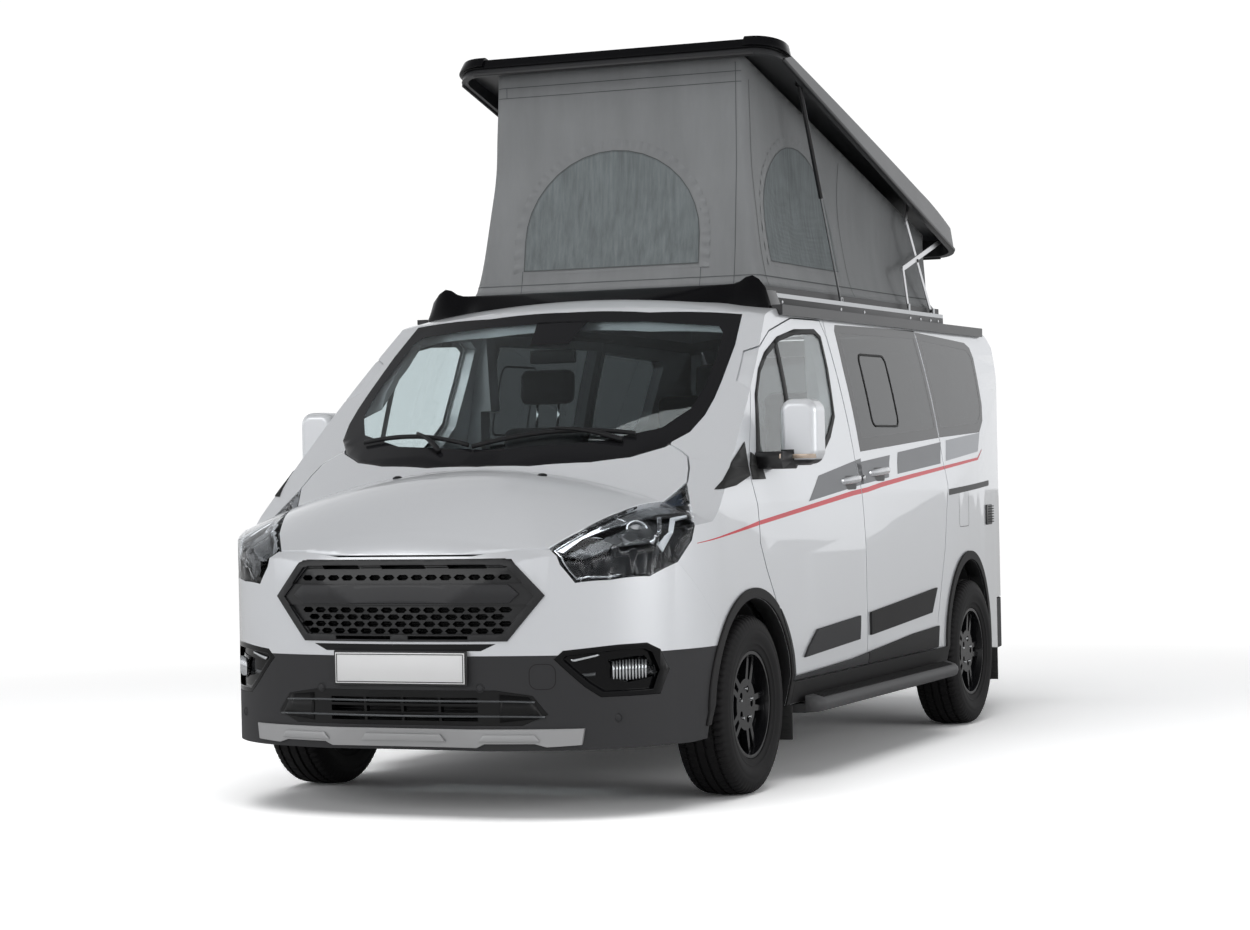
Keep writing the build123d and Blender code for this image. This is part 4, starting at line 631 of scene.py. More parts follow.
def slacken(walls):
    """Sag the cloth between its held edges, with soft folds that run from its corners."""
    walls.normal_update()
    for vert in walls.verts:
        x, y, z = vert.co
        height = max((z - TENT_FOOT_Z) / (lid_height(y) - TENT_FOOT_Z), 0.0)
        along = (x / TENT_HALF if abs(vert.normal.y) > 0.7
                 else (y - TENT_MIDDLE) / (TENT_BACK - TENT_MIDDLE))
        held = max(1 - min(abs(along), 1.0) ** 4, 0.0)
        free = math.sin(math.pi * min(height, 1.0)) * held
        fold = noise.noise(Vector((x * 2.2, y * 2.2 + 1.5 * z, z * 3.0)))
        ripple = noise.noise(Vector((x * 7.0 + y * 9.0, 3.0 * z, 4.0)))
        crumple = noise.noise(Vector((y * 16.0 + 5.0 * z, z * 9.0, 9.0)))
        rear = min(max((y - 0.6) / 1.2, 0.0), 1.0)
        loose = 1 - (2 * height - 1) ** 2
        depth = (-0.016 * free
                 + (0.006 + 0.012 * rear) * fold * min(4 * height * (1 - height) + 0.15, 1.0))
        depth += (0.002 + 0.014 * rear) * ripple * loose
        depth += 0.005 * rear * crumple * loose
        vert.co += vert.normal * depth
        waist = math.sin(math.pi * min(height, 1.0) ** 0.75) ** 0.8 if height > 0 else 0.0
        vert.co.x *= 1 - 0.045 * waist
        vert.co.y = TENT_MIDDLE + (vert.co.y - TENT_MIDDLE) * (1 - 0.018 * waist)


tent_shape = tent_walls()
CUT_AREA = sum(face.calc_area() for face in tent_shape.faces)
slacken(tent_shape)
tent_copy = tent_shape.copy()
tent = fitted("tent_walls", tent_shape, tent_cloth, "van", thickness=0.0012, offset=-1.0)
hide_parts("tent")


def fold_with_lid(piece):
    """Give a piece of the tent its own copy of its mesh."""
    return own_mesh(piece)


def arch(centre, half, foot, top, steps=18):
    """Outline of an arched window: a straight foot under a flattened half-circle."""
    shoulder = foot + 0.25 * (top - foot)
    points = [(centre + half, foot), (centre - half, foot)]
    for step in range(steps + 1):
        angle = math.pi - math.pi * step / steps
        points.append((centre + half * math.cos(angle),
                       shoulder + (top - shoulder) * math.sin(angle)))
    return points


def tent_skin(facing):
    """The tent's faces that look one way."""
    direction = Vector(facing)
    return keep_faces(tent_copy.copy(), lambda face: face.normal.dot(direction) >= 0.7)


def sewn(name, mesh, finish, lift):
    """Piece sewn to the tent, with its own copy of its mesh."""
    piece = lay(name, mesh, finish, "van", lift=lift)
    fold_with_lid(piece)


HEM, PUCKER = 0.0035, 0.050
TENT_WINDOWS = [                # wall, way it faces, axis, arch
    ("front", (0, -1, 0), 1, (-0.020, 0.400, 2.094, 2.590)),
    ("left", (1, 0, 0), 0, (0.155, 0.438, 2.100, 2.615)),
    ("right", (-1, 0, 0), 0, (0.155, 0.438, 2.100, 2.615))]
for wall_name, facing, axis, (centre, half, foot, top) in TENT_WINDOWS:
    opening = arch(centre, half, foot, top)
    sewn(f"tent_window_{wall_name}", trim_to(tent_skin(facing), opening, axis),
         tent_mesh_cloth, 0.0012)
    hem = arch(centre, half + HEM, foot - HEM, top + HEM)
    sewn(f"tent_window_hem_{wall_name}", between(tent_skin(facing), hem, opening, axis),
         seam_thread, 0.0034)
    strip = arch(centre, half + PUCKER, foot - 0.02, top + PUCKER)
    puckered = between(tent_skin(facing), strip, opening, axis)
    bmesh.ops.subdivide_edges(puckered, edges=puckered.edges[:], cuts=1, use_grid_fill=True)
    for vert in puckered.verts:
        across_way, rise = vert.co[1 - axis] - centre, vert.co.z - (foot + 0.16)
        around = math.atan2(rise, across_way)
        edge = max(abs(across_way) / half, 0.0) if rise < 0 else math.hypot(
            across_way / half, rise / (top - foot - 0.16))
        slack = min(max((edge - 1.0) * 12.0, 0.0), 1.0)
        vert.co += Vector(facing) * slack * (
            0.0022 * math.sin(52 * around + 3 * math.sin(5 * around)) + 0.0008)
    sewn(f"tent_window_facing_{wall_name}", puckered, tent_cloth, 0.0006)

# seams: doubled cloth along the foot, below the lid and beside each front corner
FRONT_SEAMS = [[(-0.66, 2.030), (0.66, 2.030), (0.66, 2.033), (-0.66, 2.033)],
               [(-0.60, 2.846), (0.60, 2.846), (0.60, 2.849), (-0.60, 2.849)],
               [(-0.60, 2.890), (0.60, 2.890), (0.60, 2.893), (-0.60, 2.893)],
               [(-0.52, 2.846), (-0.517, 2.846), (-0.517, 2.893), (-0.52, 2.893)],
               [(-0.430, 1.990), (-0.427, 1.990), (-0.427, 2.092), (-0.430, 2.092)],
               [(0.392, 1.990), (0.395, 1.990), (0.395, 2.092), (0.392, 2.092)],
               [(0.545, 1.990), (0.548, 1.990), (0.540, 2.930), (0.537, 2.930)]]
SIDE_SEAMS = [[(-0.40, 1.990), (-0.395, 1.990), (-0.340, 2.860), (-0.345, 2.860)],
              [(0.72, 1.990), (0.725, 1.990), (0.725, 2.600), (0.72, 2.600)],
              [(-0.49, 2.028), (1.93, 2.028), (1.93, 2.033), (-0.49, 2.033)]]
seam_lines = [((0, -1, 0), 1, outline) for outline in FRONT_SEAMS]
seam_lines += [((way, 0, 0), 0, outline) for outline in SIDE_SEAMS for way in (1, -1)]
seam_lines += [(facing, axis, [(middle - 0.010, 2.100), (middle + 0.010, 2.100),
                               (middle + 0.006, 2.160), (middle - 0.006, 2.160)])
               for wall_name, facing, axis, arched in TENT_WINDOWS      # tie tabs
               for middle in (arched[0] - 0.285, arched[0] + 0.285)]
sewn("tent_seams", joined([trim_to(tent_skin(facing), outline, axis)
                           for facing, axis, outline in seam_lines]), seam_thread, 0.0010)
tent_copy.free()
fold_with_lid(tent)

# ------------------------------------------------------------------ lid of the pop-up roof
# Glass-fibre shell in dark grey gelcoat, with a rubber seal round its rim, a gloss lip
# along the front edge and moulded caps over its front corners.
roof_gelcoat = grained("roof_gelcoat", (0.020, 0.0205, 0.022), 0.38, scale=700.0,
                       depth=0.00003, variation=0.08, Coat_Weight=0.25, Coat_Roughness=0.2)
gloss_black = grained("gloss_black", (0.003, 0.003, 0.0035), 0.14, scale=1500.0,
                      depth=0.000006, variation=0.05, uneven=0.03,
                      Specular_IOR_Level=0.22)
satin_black = grained("satin_black", (0.014, 0.014, 0.015), 0.42, scale=900.0,
                      depth=0.00004, variation=0.15)
dress(["roof_shell"], roof_gelcoat, 0.006, 3)
dress(["roof_frame"], satin_black, 0.002)


def bar(mesh, low, high, turn=None):
    """Add a block between two corners, turned about a point if asked."""
    made = bmesh.ops.create_cube(mesh, size=1.0)["verts"]
    size = [h - l for l, h in zip(low, high)]
    bmesh.ops.scale(mesh, vec=size, verts=made)
    bmesh.ops.translate(mesh, vec=[(h + l) / 2 for l, h in zip(low, high)], verts=made)
    if turn:
        bmesh.ops.transform(mesh, matrix=about(*turn), verts=made)


def blocks(name, spans, finish, body, round_width=0.002, turn=None):
    """One piece made of several rounded blocks."""
    mesh = bmesh.new()
    for low, high in spans:
        bar(mesh, low, high, turn)
    return fitted(name, mesh, finish, body, round_width=round_width, angle=None)


def lid_edge(low_z, back_y, least_x=0.0):
    """Outer faces of the lid's front edge and corners, above a height of the shut lid."""
    mesh = merged("roof_shell")
    bmesh.ops.transform(mesh, matrix=about(LID_CENTRE, LID_TURN).inverted(), verts=mesh.verts)
    mesh.normal_update()
    keep_faces(mesh, lambda face: face.normal.y < -0.25 or face.normal.z > 0.35
               or face.normal.x * face.calc_center_median().x > 0.3)
    cut(mesh, (0, 0, low_z), (0, 0, -1))
    cut(mesh, (0, back_y, 0), (0, 1, 0))
    if least_x:
        for way in (1, -1):
            cut(mesh, (way * least_x, 0, 0), (way, 0, 0), clear=False)
        keep_faces(mesh, lambda face: abs(face.calc_center_median().x) >= least_x)
    bmesh.ops.transform(mesh, matrix=about(LID_CENTRE, LID_TURN), verts=mesh.verts)
    return mesh


lay("lid_front_trim", lid_edge(2.002, -0.560), gloss_black, "roof", lift=0.0003,
    thickness=0.010, round_width=0.003)
lay("lid_corner_caps", lid_edge(2.006, -0.500, 0.600), gloss_black, "roof", lift=0.0006,
    thickness=0.021, round_width=0.006)
LID_HALF, LID_FRONT, LID_REAR, LID_RIM = 0.745, -0.648, 2.052, 1.976
SEAL_FOOT, SEAL_TOP = LID_RIM - 0.006, LID_RIM + 0.012
seal = [((x_low, LID_FRONT + 0.1, SEAL_FOOT), (x_high, LID_REAR - 0.1, SEAL_TOP))
        for x_low, x_high in (span(sign, LID_HALF + 0.004, LID_HALF - 0.010)
                              for sign in (-1, 1))]
seal += [((-LID_HALF + 0.1, y_low, SEAL_FOOT), (LID_HALF - 0.1, y_high, SEAL_TOP))
         for y_low, y_high in ((LID_FRONT - 0.004, LID_FRONT + 0.010),
                               (LID_REAR - 0.010, LID_REAR + 0.004))]
blocks("lid_rim_seal", seal, satin_black, "roof", 0.004, (LID_CENTRE, LID_TURN))

# ------------------------------------------------------------------ roof fairing
# Moulded wind deflector in gloss black, screwed to the roof ahead of the lid.  Its front
# follows the screen, and its ends rise and are scooped out beside the lid's corners.
FAIRING_HALF, FAIRING_STATIONS = 0.782, 56
FAIRING_LIP_Y, FAIRING_REAR_Y, FAIRING_SHELF_Z = -0.676, -0.548, 1.962
FAIRING_PROFILE = [             # share of the way back to the lip, share of the way up
    (0.0, 0.0), (0.0, 0.12), (0.10, 0.30), (0.32, 0.52), (0.58, 0.74), (0.80, 0.92),
    (0.90, 0.985), (0.98, 1.0), (1.0, 0.98)]


def fairing_section(x):
    """Ring of points round the fairing at a station across the roof."""
    out = abs(x) / FAIRING_HALF
    front = -0.838 + 0.120 * out ** 2 + 0.030 * math.exp(-((abs(x) - 0.585) / 0.055) ** 2)
    foot = 1.868 - 0.012 * out ** 2
    rise = 0.034 * math.exp(-((abs(x) - 0.690) / 0.042) ** 2)
    top = 1.984 + rise - 0.105 * max((out - 0.93) / 0.07, 0.0) ** 2.2
    shelf = min(FAIRING_SHELF_Z, top - 0.010)
    return [(x, front + (FAIRING_LIP_Y - front) * back, foot + (top - foot) * up)
            for back, up in FAIRING_PROFILE] + [
        (x, FAIRING_LIP_Y + 0.003, shelf), (x, FAIRING_REAR_Y - 0.008, shelf),
        (x, FAIRING_REAR_Y, shelf - 0.008), (x, FAIRING_REAR_Y, foot)]


def loft(sections):
    """Closed skin over matching rings of points."""
    return outwards(bridged(bmesh.new(), sections))


stations = [FAIRING_HALF * (2 * n / FAIRING_STATIONS - 1) for n in range(FAIRING_STATIONS + 1)]
deflector = fitted("roof_deflector", loft([fairing_section(x) for x in stations]),
                   gloss_black, "van", crease=34.0)
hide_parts("roof_fairing")

# ------------------------------------------------------------------ scissor bars and struts
# Plated flat bars on pins with turned caps, and black gas struts with chromed rods.
bar_steel = grained("plated_bar", (0.72, 0.72, 0.73), 0.30, scale=600.0, depth=0.00002,
                    variation=0.08, Metallic=1.0)
strut_black = grained("strut_enamel", (0.012, 0.012, 0.013), 0.22, depth=0.00001)
rod_chrome = grained("rod_chrome", (0.30, 0.305, 0.31), 0.12, depth=0.000002, Metallic=1.0,
                     variation=0.03)
rail_alloy = grained("anodised_rail", (0.55, 0.56, 0.57), 0.34, scale=300.0, depth=0.00002,
                     variation=0.06, Metallic=0.9)
black_rail = grained("black_anodised_rail", (0.012, 0.012, 0.013), 0.30)
dress(["scissor_base_bars", "scissor_roof_bars", "scissor_base_links",
       "scissor_roof_links"], bar_steel, 0.0008)
dress(["strut_cylinders"], strut_black, 0.002)
dress(["strut_rods"], rod_chrome)
dress(["base_rails"], rail_alloy, 0.002)
dress(["awning_rails"], black_rail, 0.003)


def round_caps(name, places, radius, height, finish, body):
    """Turned caps or screw heads along X, their narrow ends outwards."""
    mesh = bmesh.new()
    for place in places:
        made = bmesh.ops.create_cone(mesh, cap_ends=True, segments=20, radius1=radius,
                                     radius2=radius * 0.82, depth=height)["verts"]
        sign = 1 if place[0] > 0 else -1
        matrix = Matrix.Translation(place) @ Matrix.Rotation(sign * math.pi / 2, 4, "Y")
        bmesh.ops.transform(mesh, matrix=matrix, verts=made)
    return fitted(name, mesh, finish, body, round_width=radius * 0.12, smooth=False,
                  angle=None)


PINS = [                        # body that the cap turns with, x, y, z
    ("scissor_base_bars", 0.6960, 1.785, 1.968), ("scissor_base_bars", 0.7015, 1.567, 2.200),
    ("scissor_roof_bars", 0.7020, 1.985, 2.326), ("scissor_base_links", 0.7060, 1.39373, 1.975),
    ("scissor_roof_links", 0.6920, 1.475, 2.477), ("strut_cylinders", 0.7105, -0.064, 2.863),
    ("strut_rods", 0.7055, 0.418, 1.963)]
for number, (body, x, y, z) in enumerate(PINS):
    round_caps(f"pin_caps_{number}", [(x, y, z), (-x, y, z)], 0.0095, 0.006, satin_black,
               body)
rail_covers = []
for side, sign in SIDES:
    x_low, x_high = span(sign, 0.7396, 0.7425)
    rail_covers.append(((x_low, -0.535, 1.8925), (x_high, 1.825, 1.932)))
blocks("base_rail_covers", rail_covers, satin_black, "van", 0.0012)
RAIL_SCREWS = [(0.7430, y, 1.915) for y in (-0.45, 0.30, 0.62, 1.30, 1.46, 1.62, 1.74)]
round_caps("rail_screws", [(side * x, y, z) for x, y, z in RAIL_SCREWS for side in (1, -1)],
           0.008, 0.004, bar_steel, "van")

# ------------------------------------------------------------------ grey cladding
# Grained dark grey polypropylene mouldings clipped to the lower body: the bumper's lower
# half, arch trims, door mouldings, sills and the steps below them.
cladding = grained("grained_cladding", (0.034, 0.034, 0.036), 0.68, scale=900.0,
                   depth=0.00012, variation=0.12, patches=2.0, Specular_IOR_Level=0.35)
arch_cladding = grained("arch_cladding", (0.017, 0.0165, 0.017), 0.66, scale=900.0,
                        depth=0.00012, variation=0.12, patches=2.0, Specular_IOR_Level=0.30)
dress(["lower_bumper", "rear_bumper", "door_trim_left", "door_trim_right"], cladding, 0.003)
dress(["front_arch_trims", "rear_arch_trims"], arch_cladding, 0.004, 3)
step_black = grained("step_enamel", (0.055, 0.055, 0.056), 0.5, scale=500.0, depth=0.00010,
                     variation=0.15)
dress(["running_boards"], step_black, 0.004)

# ribbed tread pads on the steps
for side, sign in SIDES:
    x_low, x_high = span(sign, 0.898, 0.984)
    ribs = [((x_low, -0.90 + 0.30 * pad + 0.030 * rib, 0.3015),
             (x_high, -0.885 + 0.30 * pad + 0.030 * rib, 0.3050))
            for pad in range(6) for rib in range(8)]
    blocks(f"step_pad_{side}", ribs, arch_cladding, "van", 0.001)

# the step's outer board: a rounded moulding with a ribbed upper face
BOARD_INNER = 0.984
BOARD_PROFILE = [(0.984, 0.300), (0.984, 0.328), (0.994, 0.333), (1.040, 0.320), (1.054, 0.306),
                 (1.056, 0.292), (1.048, 0.272), (1.030, 0.264), (0.984, 0.262)]
BOARD_STATIONS = [(-0.945, 0.45), (-0.935, 0.75), (-0.915, 0.93), (-0.880, 1.0), (0.900, 1.0),
                  (0.935, 0.93), (0.955, 0.75), (0.965, 0.45)]
RIB_PROFILE = [(0.996, 0.330), (0.996, 0.3355), (1.040, 0.3235), (1.040, 0.318)]
board_plastic = grained("board_plastic", (0.060, 0.060, 0.062), 0.55, scale=700.0,
                        depth=0.00012, variation=0.12)
for side, sign in SIDES:
    board = loft([[(sign * (BOARD_INNER + (x - BOARD_INNER) * share), y, z)
                   for x, z in BOARD_PROFILE] for y, share in BOARD_STATIONS])
    fitted(f"step_board_{side}", board, board_plastic, "van", crease=50.0)
    ribs = joined([loft([[(sign * x, y, z) for x, z in RIB_PROFILE] for y in (at, at + 0.013)])
                   for at in (-0.875 + 0.0285 * n for n in range(62))])
    fitted(f"step_ribs_{side}", ribs, arch_cladding, "van", smooth=False)

# mud flaps behind the wheels, hung from the arch trims
FLAPS = [("front", -1.046, 0.300, 0.165), ("rear", 1.880, 0.330, 0.175)]
flap_rubber = grained("flap_rubber", (0.016, 0.016, 0.016), 0.7, scale=300.0, depth=0.0001,
                      variation=0.15)
for end, y, top, foot in FLAPS:
    sheets, stiffeners = [], []
    for side, sign in SIDES:
        x_low, x_high = span(sign, 0.790, 0.966)
        sheets.append(((x_low, y - 0.004, foot), (x_high, y + 0.004, top)))
        x_low, x_high = span(sign, 0.800, 0.956)
        stiffeners += [((x_low, y - 0.006, foot + 0.030 + 0.028 * rib),
                        (x_high, y + 0.006, foot + 0.036 + 0.028 * rib)) for rib in range(3)]
    blocks(f"mud_flaps_{end}", sheets + stiffeners, flap_rubber, "van", 0.002)

# ------------------------------------------------------------------ underbody
# Chassis rails, floor sheet, forged arms and leaf springs in black wax over primer, and
# cast knuckles and the engine block left bare.
chassis_paint = grained("chassis_paint", (0.020, 0.020, 0.021), 0.6, scale=200.0,
                        depth=0.0002, variation=0.3, patches=5.0)
cast_metal = grained("cast_steel", (0.10, 0.098, 0.095), 0.55, scale=350.0, depth=0.0002,
                     variation=0.3, patches=12.0, Metallic=0.7)
dress(["floor_pan", "front_suspension", "rear_axle"], chassis_paint)
dress(["knuckle_left", "knuckle_right", "engine_block"], cast_metal)

# ------------------------------------------------------------------ tyres
# Radial van tyres, 215 mm wide: spun from the bead up the sidewall and over the crown,
# with four round grooves, cut tread blocks, shoulder sipes and a rim guard.
tyre_rubber = grained("tyre_rubber", (0.0085, 0.0080, 0.0085), 0.66, scale=260.0,
                      depth=0.00010, variation=0.25, patches=7.0, Specular_IOR_Level=0.22)
TYRE_PROFILE = [                # across from the centre plane, radius: outer half
    (0.082, 0.2045), (0.090, 0.2055), (0.0935, 0.212), (0.0925, 0.221), (0.0965, 0.228),
    (0.0990, 0.2310), (0.0985, 0.2335), (0.1030, 0.246), (0.1062, 0.262), (0.1073, 0.2780),
    (0.1066, 0.2800), (0.1066, 0.2825), (0.1070, 0.2845), (0.1035, 0.300), (0.0990, 0.3125),
    (0.0955, 0.3205), (0.0900, 0.3290), (0.0800, 0.3345), (0.0700, 0.3368), (0.0640, 0.3375),
    (0.0625, 0.3300), (0.0545, 0.3300), (0.0530, 0.3385), (0.0360, 0.3393), (0.0240, 0.3395),
    (0.0225, 0.3315), (0.0145, 0.3315), (0.0130, 0.3400), (0.0, 0.3400)]
TREAD_PITCHES = 72
AXLE_Z = 0.340


def spun(points, centre, axis, steps, near=0.00005):
    """Shell made by a line of points that goes once round an axis."""
    mesh = bmesh.new()
    line = [mesh.verts.new(point) for point in points]
    edges = [mesh.edges.new(ends) for ends in zip(line, line[1:])]
    bmesh.ops.spin(mesh, geom=line + edges, cent=centre, axis=axis, angle=2 * math.pi,
                   steps=steps, use_merge=True)
    bmesh.ops.remove_doubles(mesh, verts=mesh.verts, dist=near)
    return mesh


def tyre_mesh():
    """One tyre about X through the origin, its tread cut into blocks."""
    inner_half = [(-x, r) for x, r in reversed(TYRE_PROFILE[:-1])]
    mesh = spun([(x, 0.0, r) for x, r in TYRE_PROFILE + inner_half], (0, 0, 0), (1, 0, 0),
                4 * TREAD_PITCHES, WELD)
    step = 2 * math.pi / (4 * TREAD_PITCHES)
    for vert in mesh.verts:
        x, radius = vert.co.x, math.hypot(vert.co.y, vert.co.z)
        if radius < 0.3120:
            continue
        turn_number = round(math.atan2(vert.co.z, vert.co.y) / step)
        side_shift = 2 if x < 0 else 0
        row = 0 if abs(x) < 0.014 else 1 if abs(x) < 0.037 else 2 if abs(x) < 0.064 else 3
        phase = (turn_number + side_shift + row) % 4
        depth = 0.0
        if row >= 2 and phase == 0:
            depth = 0.0065 if radius > 0.327 else 0.004
        elif row == 1 and phase == 0 and turn_number % 8 < 4:
            depth = 0.005
        if depth:
            vert.co.y *= (radius - depth) / radius
            vert.co.z *= (radius - depth) / radius
    return outwards(mesh)


tyre_template = tyre_mesh()
WHEELS = [("front_left", 0.868, -1.4685), ("front_right", -0.868, -1.4685),
          ("rear_left", 0.868, 1.4645), ("rear_right", -0.868, 1.4645)]
for corner, x, y in WHEELS:
    rubber = tyre_template.copy()
    bmesh.ops.translate(rubber, vec=(x, y, AXLE_Z), verts=rubber.verts)
    tyre = fitted(f"tyre_tread_{corner}", rubber, tyre_rubber, f"wheel_{corner}", crease=38.0)
    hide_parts(f"tyre_{corner}")
tyre_template.free()

# ------------------------------------------------------------------ wheels
# Cast alloy wheels in gloss black with chromed nuts and a plain satin centre cap.
wheel_black = grained("wheel_gloss_black", (0.006, 0.006, 0.007), 0.18, scale=900.0,
                      depth=0.00001, variation=0.06, Coat_Weight=0.2, Coat_Roughness=0.06,
                      Specular_IOR_Level=0.22)
chrome = grained("chrome", (0.72, 0.73, 0.74), 0.10, depth=0.000002, variation=0.03,
                 Metallic=1.0, uneven=0.03)
dress([f"rim_{corner}" for corner, x, y in WHEELS], wheel_black, 0.002)


# wheel wells: the panels' returned edges are coated black
def in_wheel_well(face):
    """Whether a panel's face looks at the hub of a wheel near it, or back inboard."""
    middle = face.calc_center_median()
    hubs = [Vector((0.0, y - middle.y, AXLE_Z - middle.z)) for corner, x, y in WHEELS
            if x * middle.x > 0]
    return any(hub.length < 0.60 and (face.normal.dot(hub.normalized()) > 0.35
                                      or face.normal.x * middle.x < -0.3) for hub in hubs)


for node in ("wings", "body_side_left", "body_side_right"):
    lay(f"wheel_well_{node}", keep_faces(merged(node), in_wheel_well), chassis_paint, "van",
        lift=0.0004)
NUT_RING = 0.060


def hexagons(mesh, places, radius, height, sign):
    """Hexagon nuts with domed ends, their axes along X."""
    for x, y, z in places:
        for segments, size, taper, depth, shift in ((6, radius, 1.0, height, 0.0),
                                                    (16, radius * 0.74, 0.6, height * 0.5, 0.6)):
            made = bmesh.ops.create_cone(mesh, cap_ends=True, segments=segments, radius1=size,
                                         radius2=size * taper, depth=depth)["verts"]
            bmesh.ops.transform(mesh, verts=made, matrix=Matrix.Translation(
                (x + sign * height * shift, y, z)) @ Matrix.Rotation(sign * math.pi / 2, 4, "Y"))


CAP_PROFILE = [(0.0, 0.034), (0.014, 0.034), (0.022, 0.031), (0.0245, 0.026), (0.0245, 0.0)]
for corner, x, y in WHEELS:
    sign = 1 if x > 0 else -1
    nuts = bmesh.new()
    places = [(x + sign * 0.052, y + NUT_RING * math.sin(2 * math.pi * n / 5),
               AXLE_Z + NUT_RING * math.cos(2 * math.pi * n / 5)) for n in range(5)]
    hexagons(nuts, places, 0.0112, 0.024, sign)
    fitted(f"wheel_nuts_{corner}", nuts, chrome, f"wheel_{corner}", smooth=False)
    cap = spun([(x + sign * (0.036 + height), y, AXLE_Z + radius)
                for height, radius in CAP_PROFILE], (x, y, AXLE_Z), (1, 0, 0), 40)
    fitted(f"centre_cap_{corner}", outwards(cap), satin_black, f"wheel_{corner}")

# ------------------------------------------------------------------ headlamps
# Clear moulded lenses bonded to black housings.  Inside lie a chromed sweep and bowl, a
# round projector in a chrome ring, a beaded trim line and a curved light guide.
lens_glass = plain("lamp_lens", (0.95, 0.965, 0.98), 0.0, Transmission_Weight=1.0, IOR=1.2)
lamp_black = grained("lamp_housing", (0.012, 0.013, 0.015), 0.25, depth=0.00002,
                     Specular_IOR_Level=0.4)
lamp_chrome = grained("lamp_chrome", (0.66, 0.68, 0.70), 0.16, scale=60.0, depth=0.0006,
                      variation=0.25, patches=25.0, Metallic=1.0, uneven=0.05)
lamp_grey = grained("lamp_bezel_grey", (0.10, 0.105, 0.11), 0.25, variation=0.2,
                    patches=20.0, Metallic=0.6)
light_guide = grained("light_guide", (0.72, 0.75, 0.78), 0.2, variation=0.08)
blue_black = grained("lamp_corner_blue", (0.012, 0.022, 0.040), 0.2, variation=0.2,
                     patches=30.0)
projector_glass = plain("projector_glass", (0.35, 0.36, 0.37), 0.02, IOR=1.6,
                        Transmission_Weight=0.4, Coat_Weight=1.0)
LAMP_CENTRE = Vector((0.742, -2.090, 1.000))
LAMP_OUT = Vector((0.55, -0.62, 0.56)).normalized()
LAMP_ACROSS = Vector((0.62, 0.55, 0.0)).normalized()
LAMP_UP = LAMP_OUT.cross(LAMP_ACROSS)
LAMP_OUTLINE = [(-0.339, -0.072), (-0.310, -0.147), (-0.261, -0.209), (-0.136, -0.213),
                (0.022, -0.193), (0.147, -0.126), (0.215, -0.044), (0.265, 0.113),
                (0.291, 0.266), (-0.039, 0.097), (-0.208, 0.000)]


def lamp_skin(outline, inset=0.0, inside=True, part=None):
    """Lamp face inside (or outside) a convex outline drawn across the lamp."""
    mesh = part or skin("headlamps", LAMP_OUT, 0.5)
    cuts = []
    for start, end in zip(outline, outline[1:] + outline[:1]):
        along = Vector((end[0] - start[0], end[1] - start[1]))
        outward = (along.y * LAMP_ACROSS - along.x * LAMP_UP).normalized()
        place = LAMP_CENTRE + start[0] * LAMP_ACROSS + start[1] * LAMP_UP - outward * inset
        cuts.append((place, outward))
        cut(mesh, place, outward, inside)
    return mesh if inside else uncovered(mesh, cuts)


def mirrored(mesh):
    """The same piece for the other side of the van."""
    other = mesh.copy()
    bmesh.ops.scale(other, vec=(-1, 1, 1), verts=other.verts)
    bmesh.ops.reverse_faces(other, faces=other.faces)
    return other


def pair(name, mesh, finish, sink=0.0, way=LAMP_OUT, **shape):
    """A left piece sunk into its seat, with its mirrored twin, as one finished piece."""
    bmesh.ops.translate(mesh, vec=-sink * way, verts=mesh.verts)
    return fitted(name, joined([mirrored(mesh), mesh]), finish, "van", offset=-1.0, **shape)


def lamp_strips(quads):
    """Several convex patches of the lamp face as one mesh."""
    return joined([lamp_skin(quad if turns_left(quad) else quad[::-1]) for quad in quads])


def turned(profile, centre, way, squash=(1.0, 1.0), steps=36):
    """A profile (radius, height) spun round an axis through a point."""
    mesh = outwards(spun([(radius, 0.0, height) for radius, height in profile], (0, 0, 0),
                         (0, 0, 1), steps))
    bmesh.ops.scale(mesh, vec=(squash[0], squash[1], 1.0), verts=mesh.verts)
    across = (Vector((0, 0, 1)).cross(way).normalized() if abs(way.z) < 0.99
              else Vector((1, 0, 0)))
    axes = Matrix((across, way.cross(across), way)).transposed().to_4x4()
    bmesh.ops.transform(mesh, matrix=Matrix.Translation(centre) @ axes, verts=mesh.verts)
    return mesh


def on_lamp(across, up, depth):
    """Point behind the lamp face at a place across it."""
    probe = LAMP_CENTRE + across * LAMP_ACROSS + up * LAMP_UP
    face = probe + LAMP_OUT * (0.045 - 0.20 * max(across + 0.05, 0.0) ** 1.6
                               - 0.12 * max(up, 0.0))
    return face - depth * LAMP_OUT


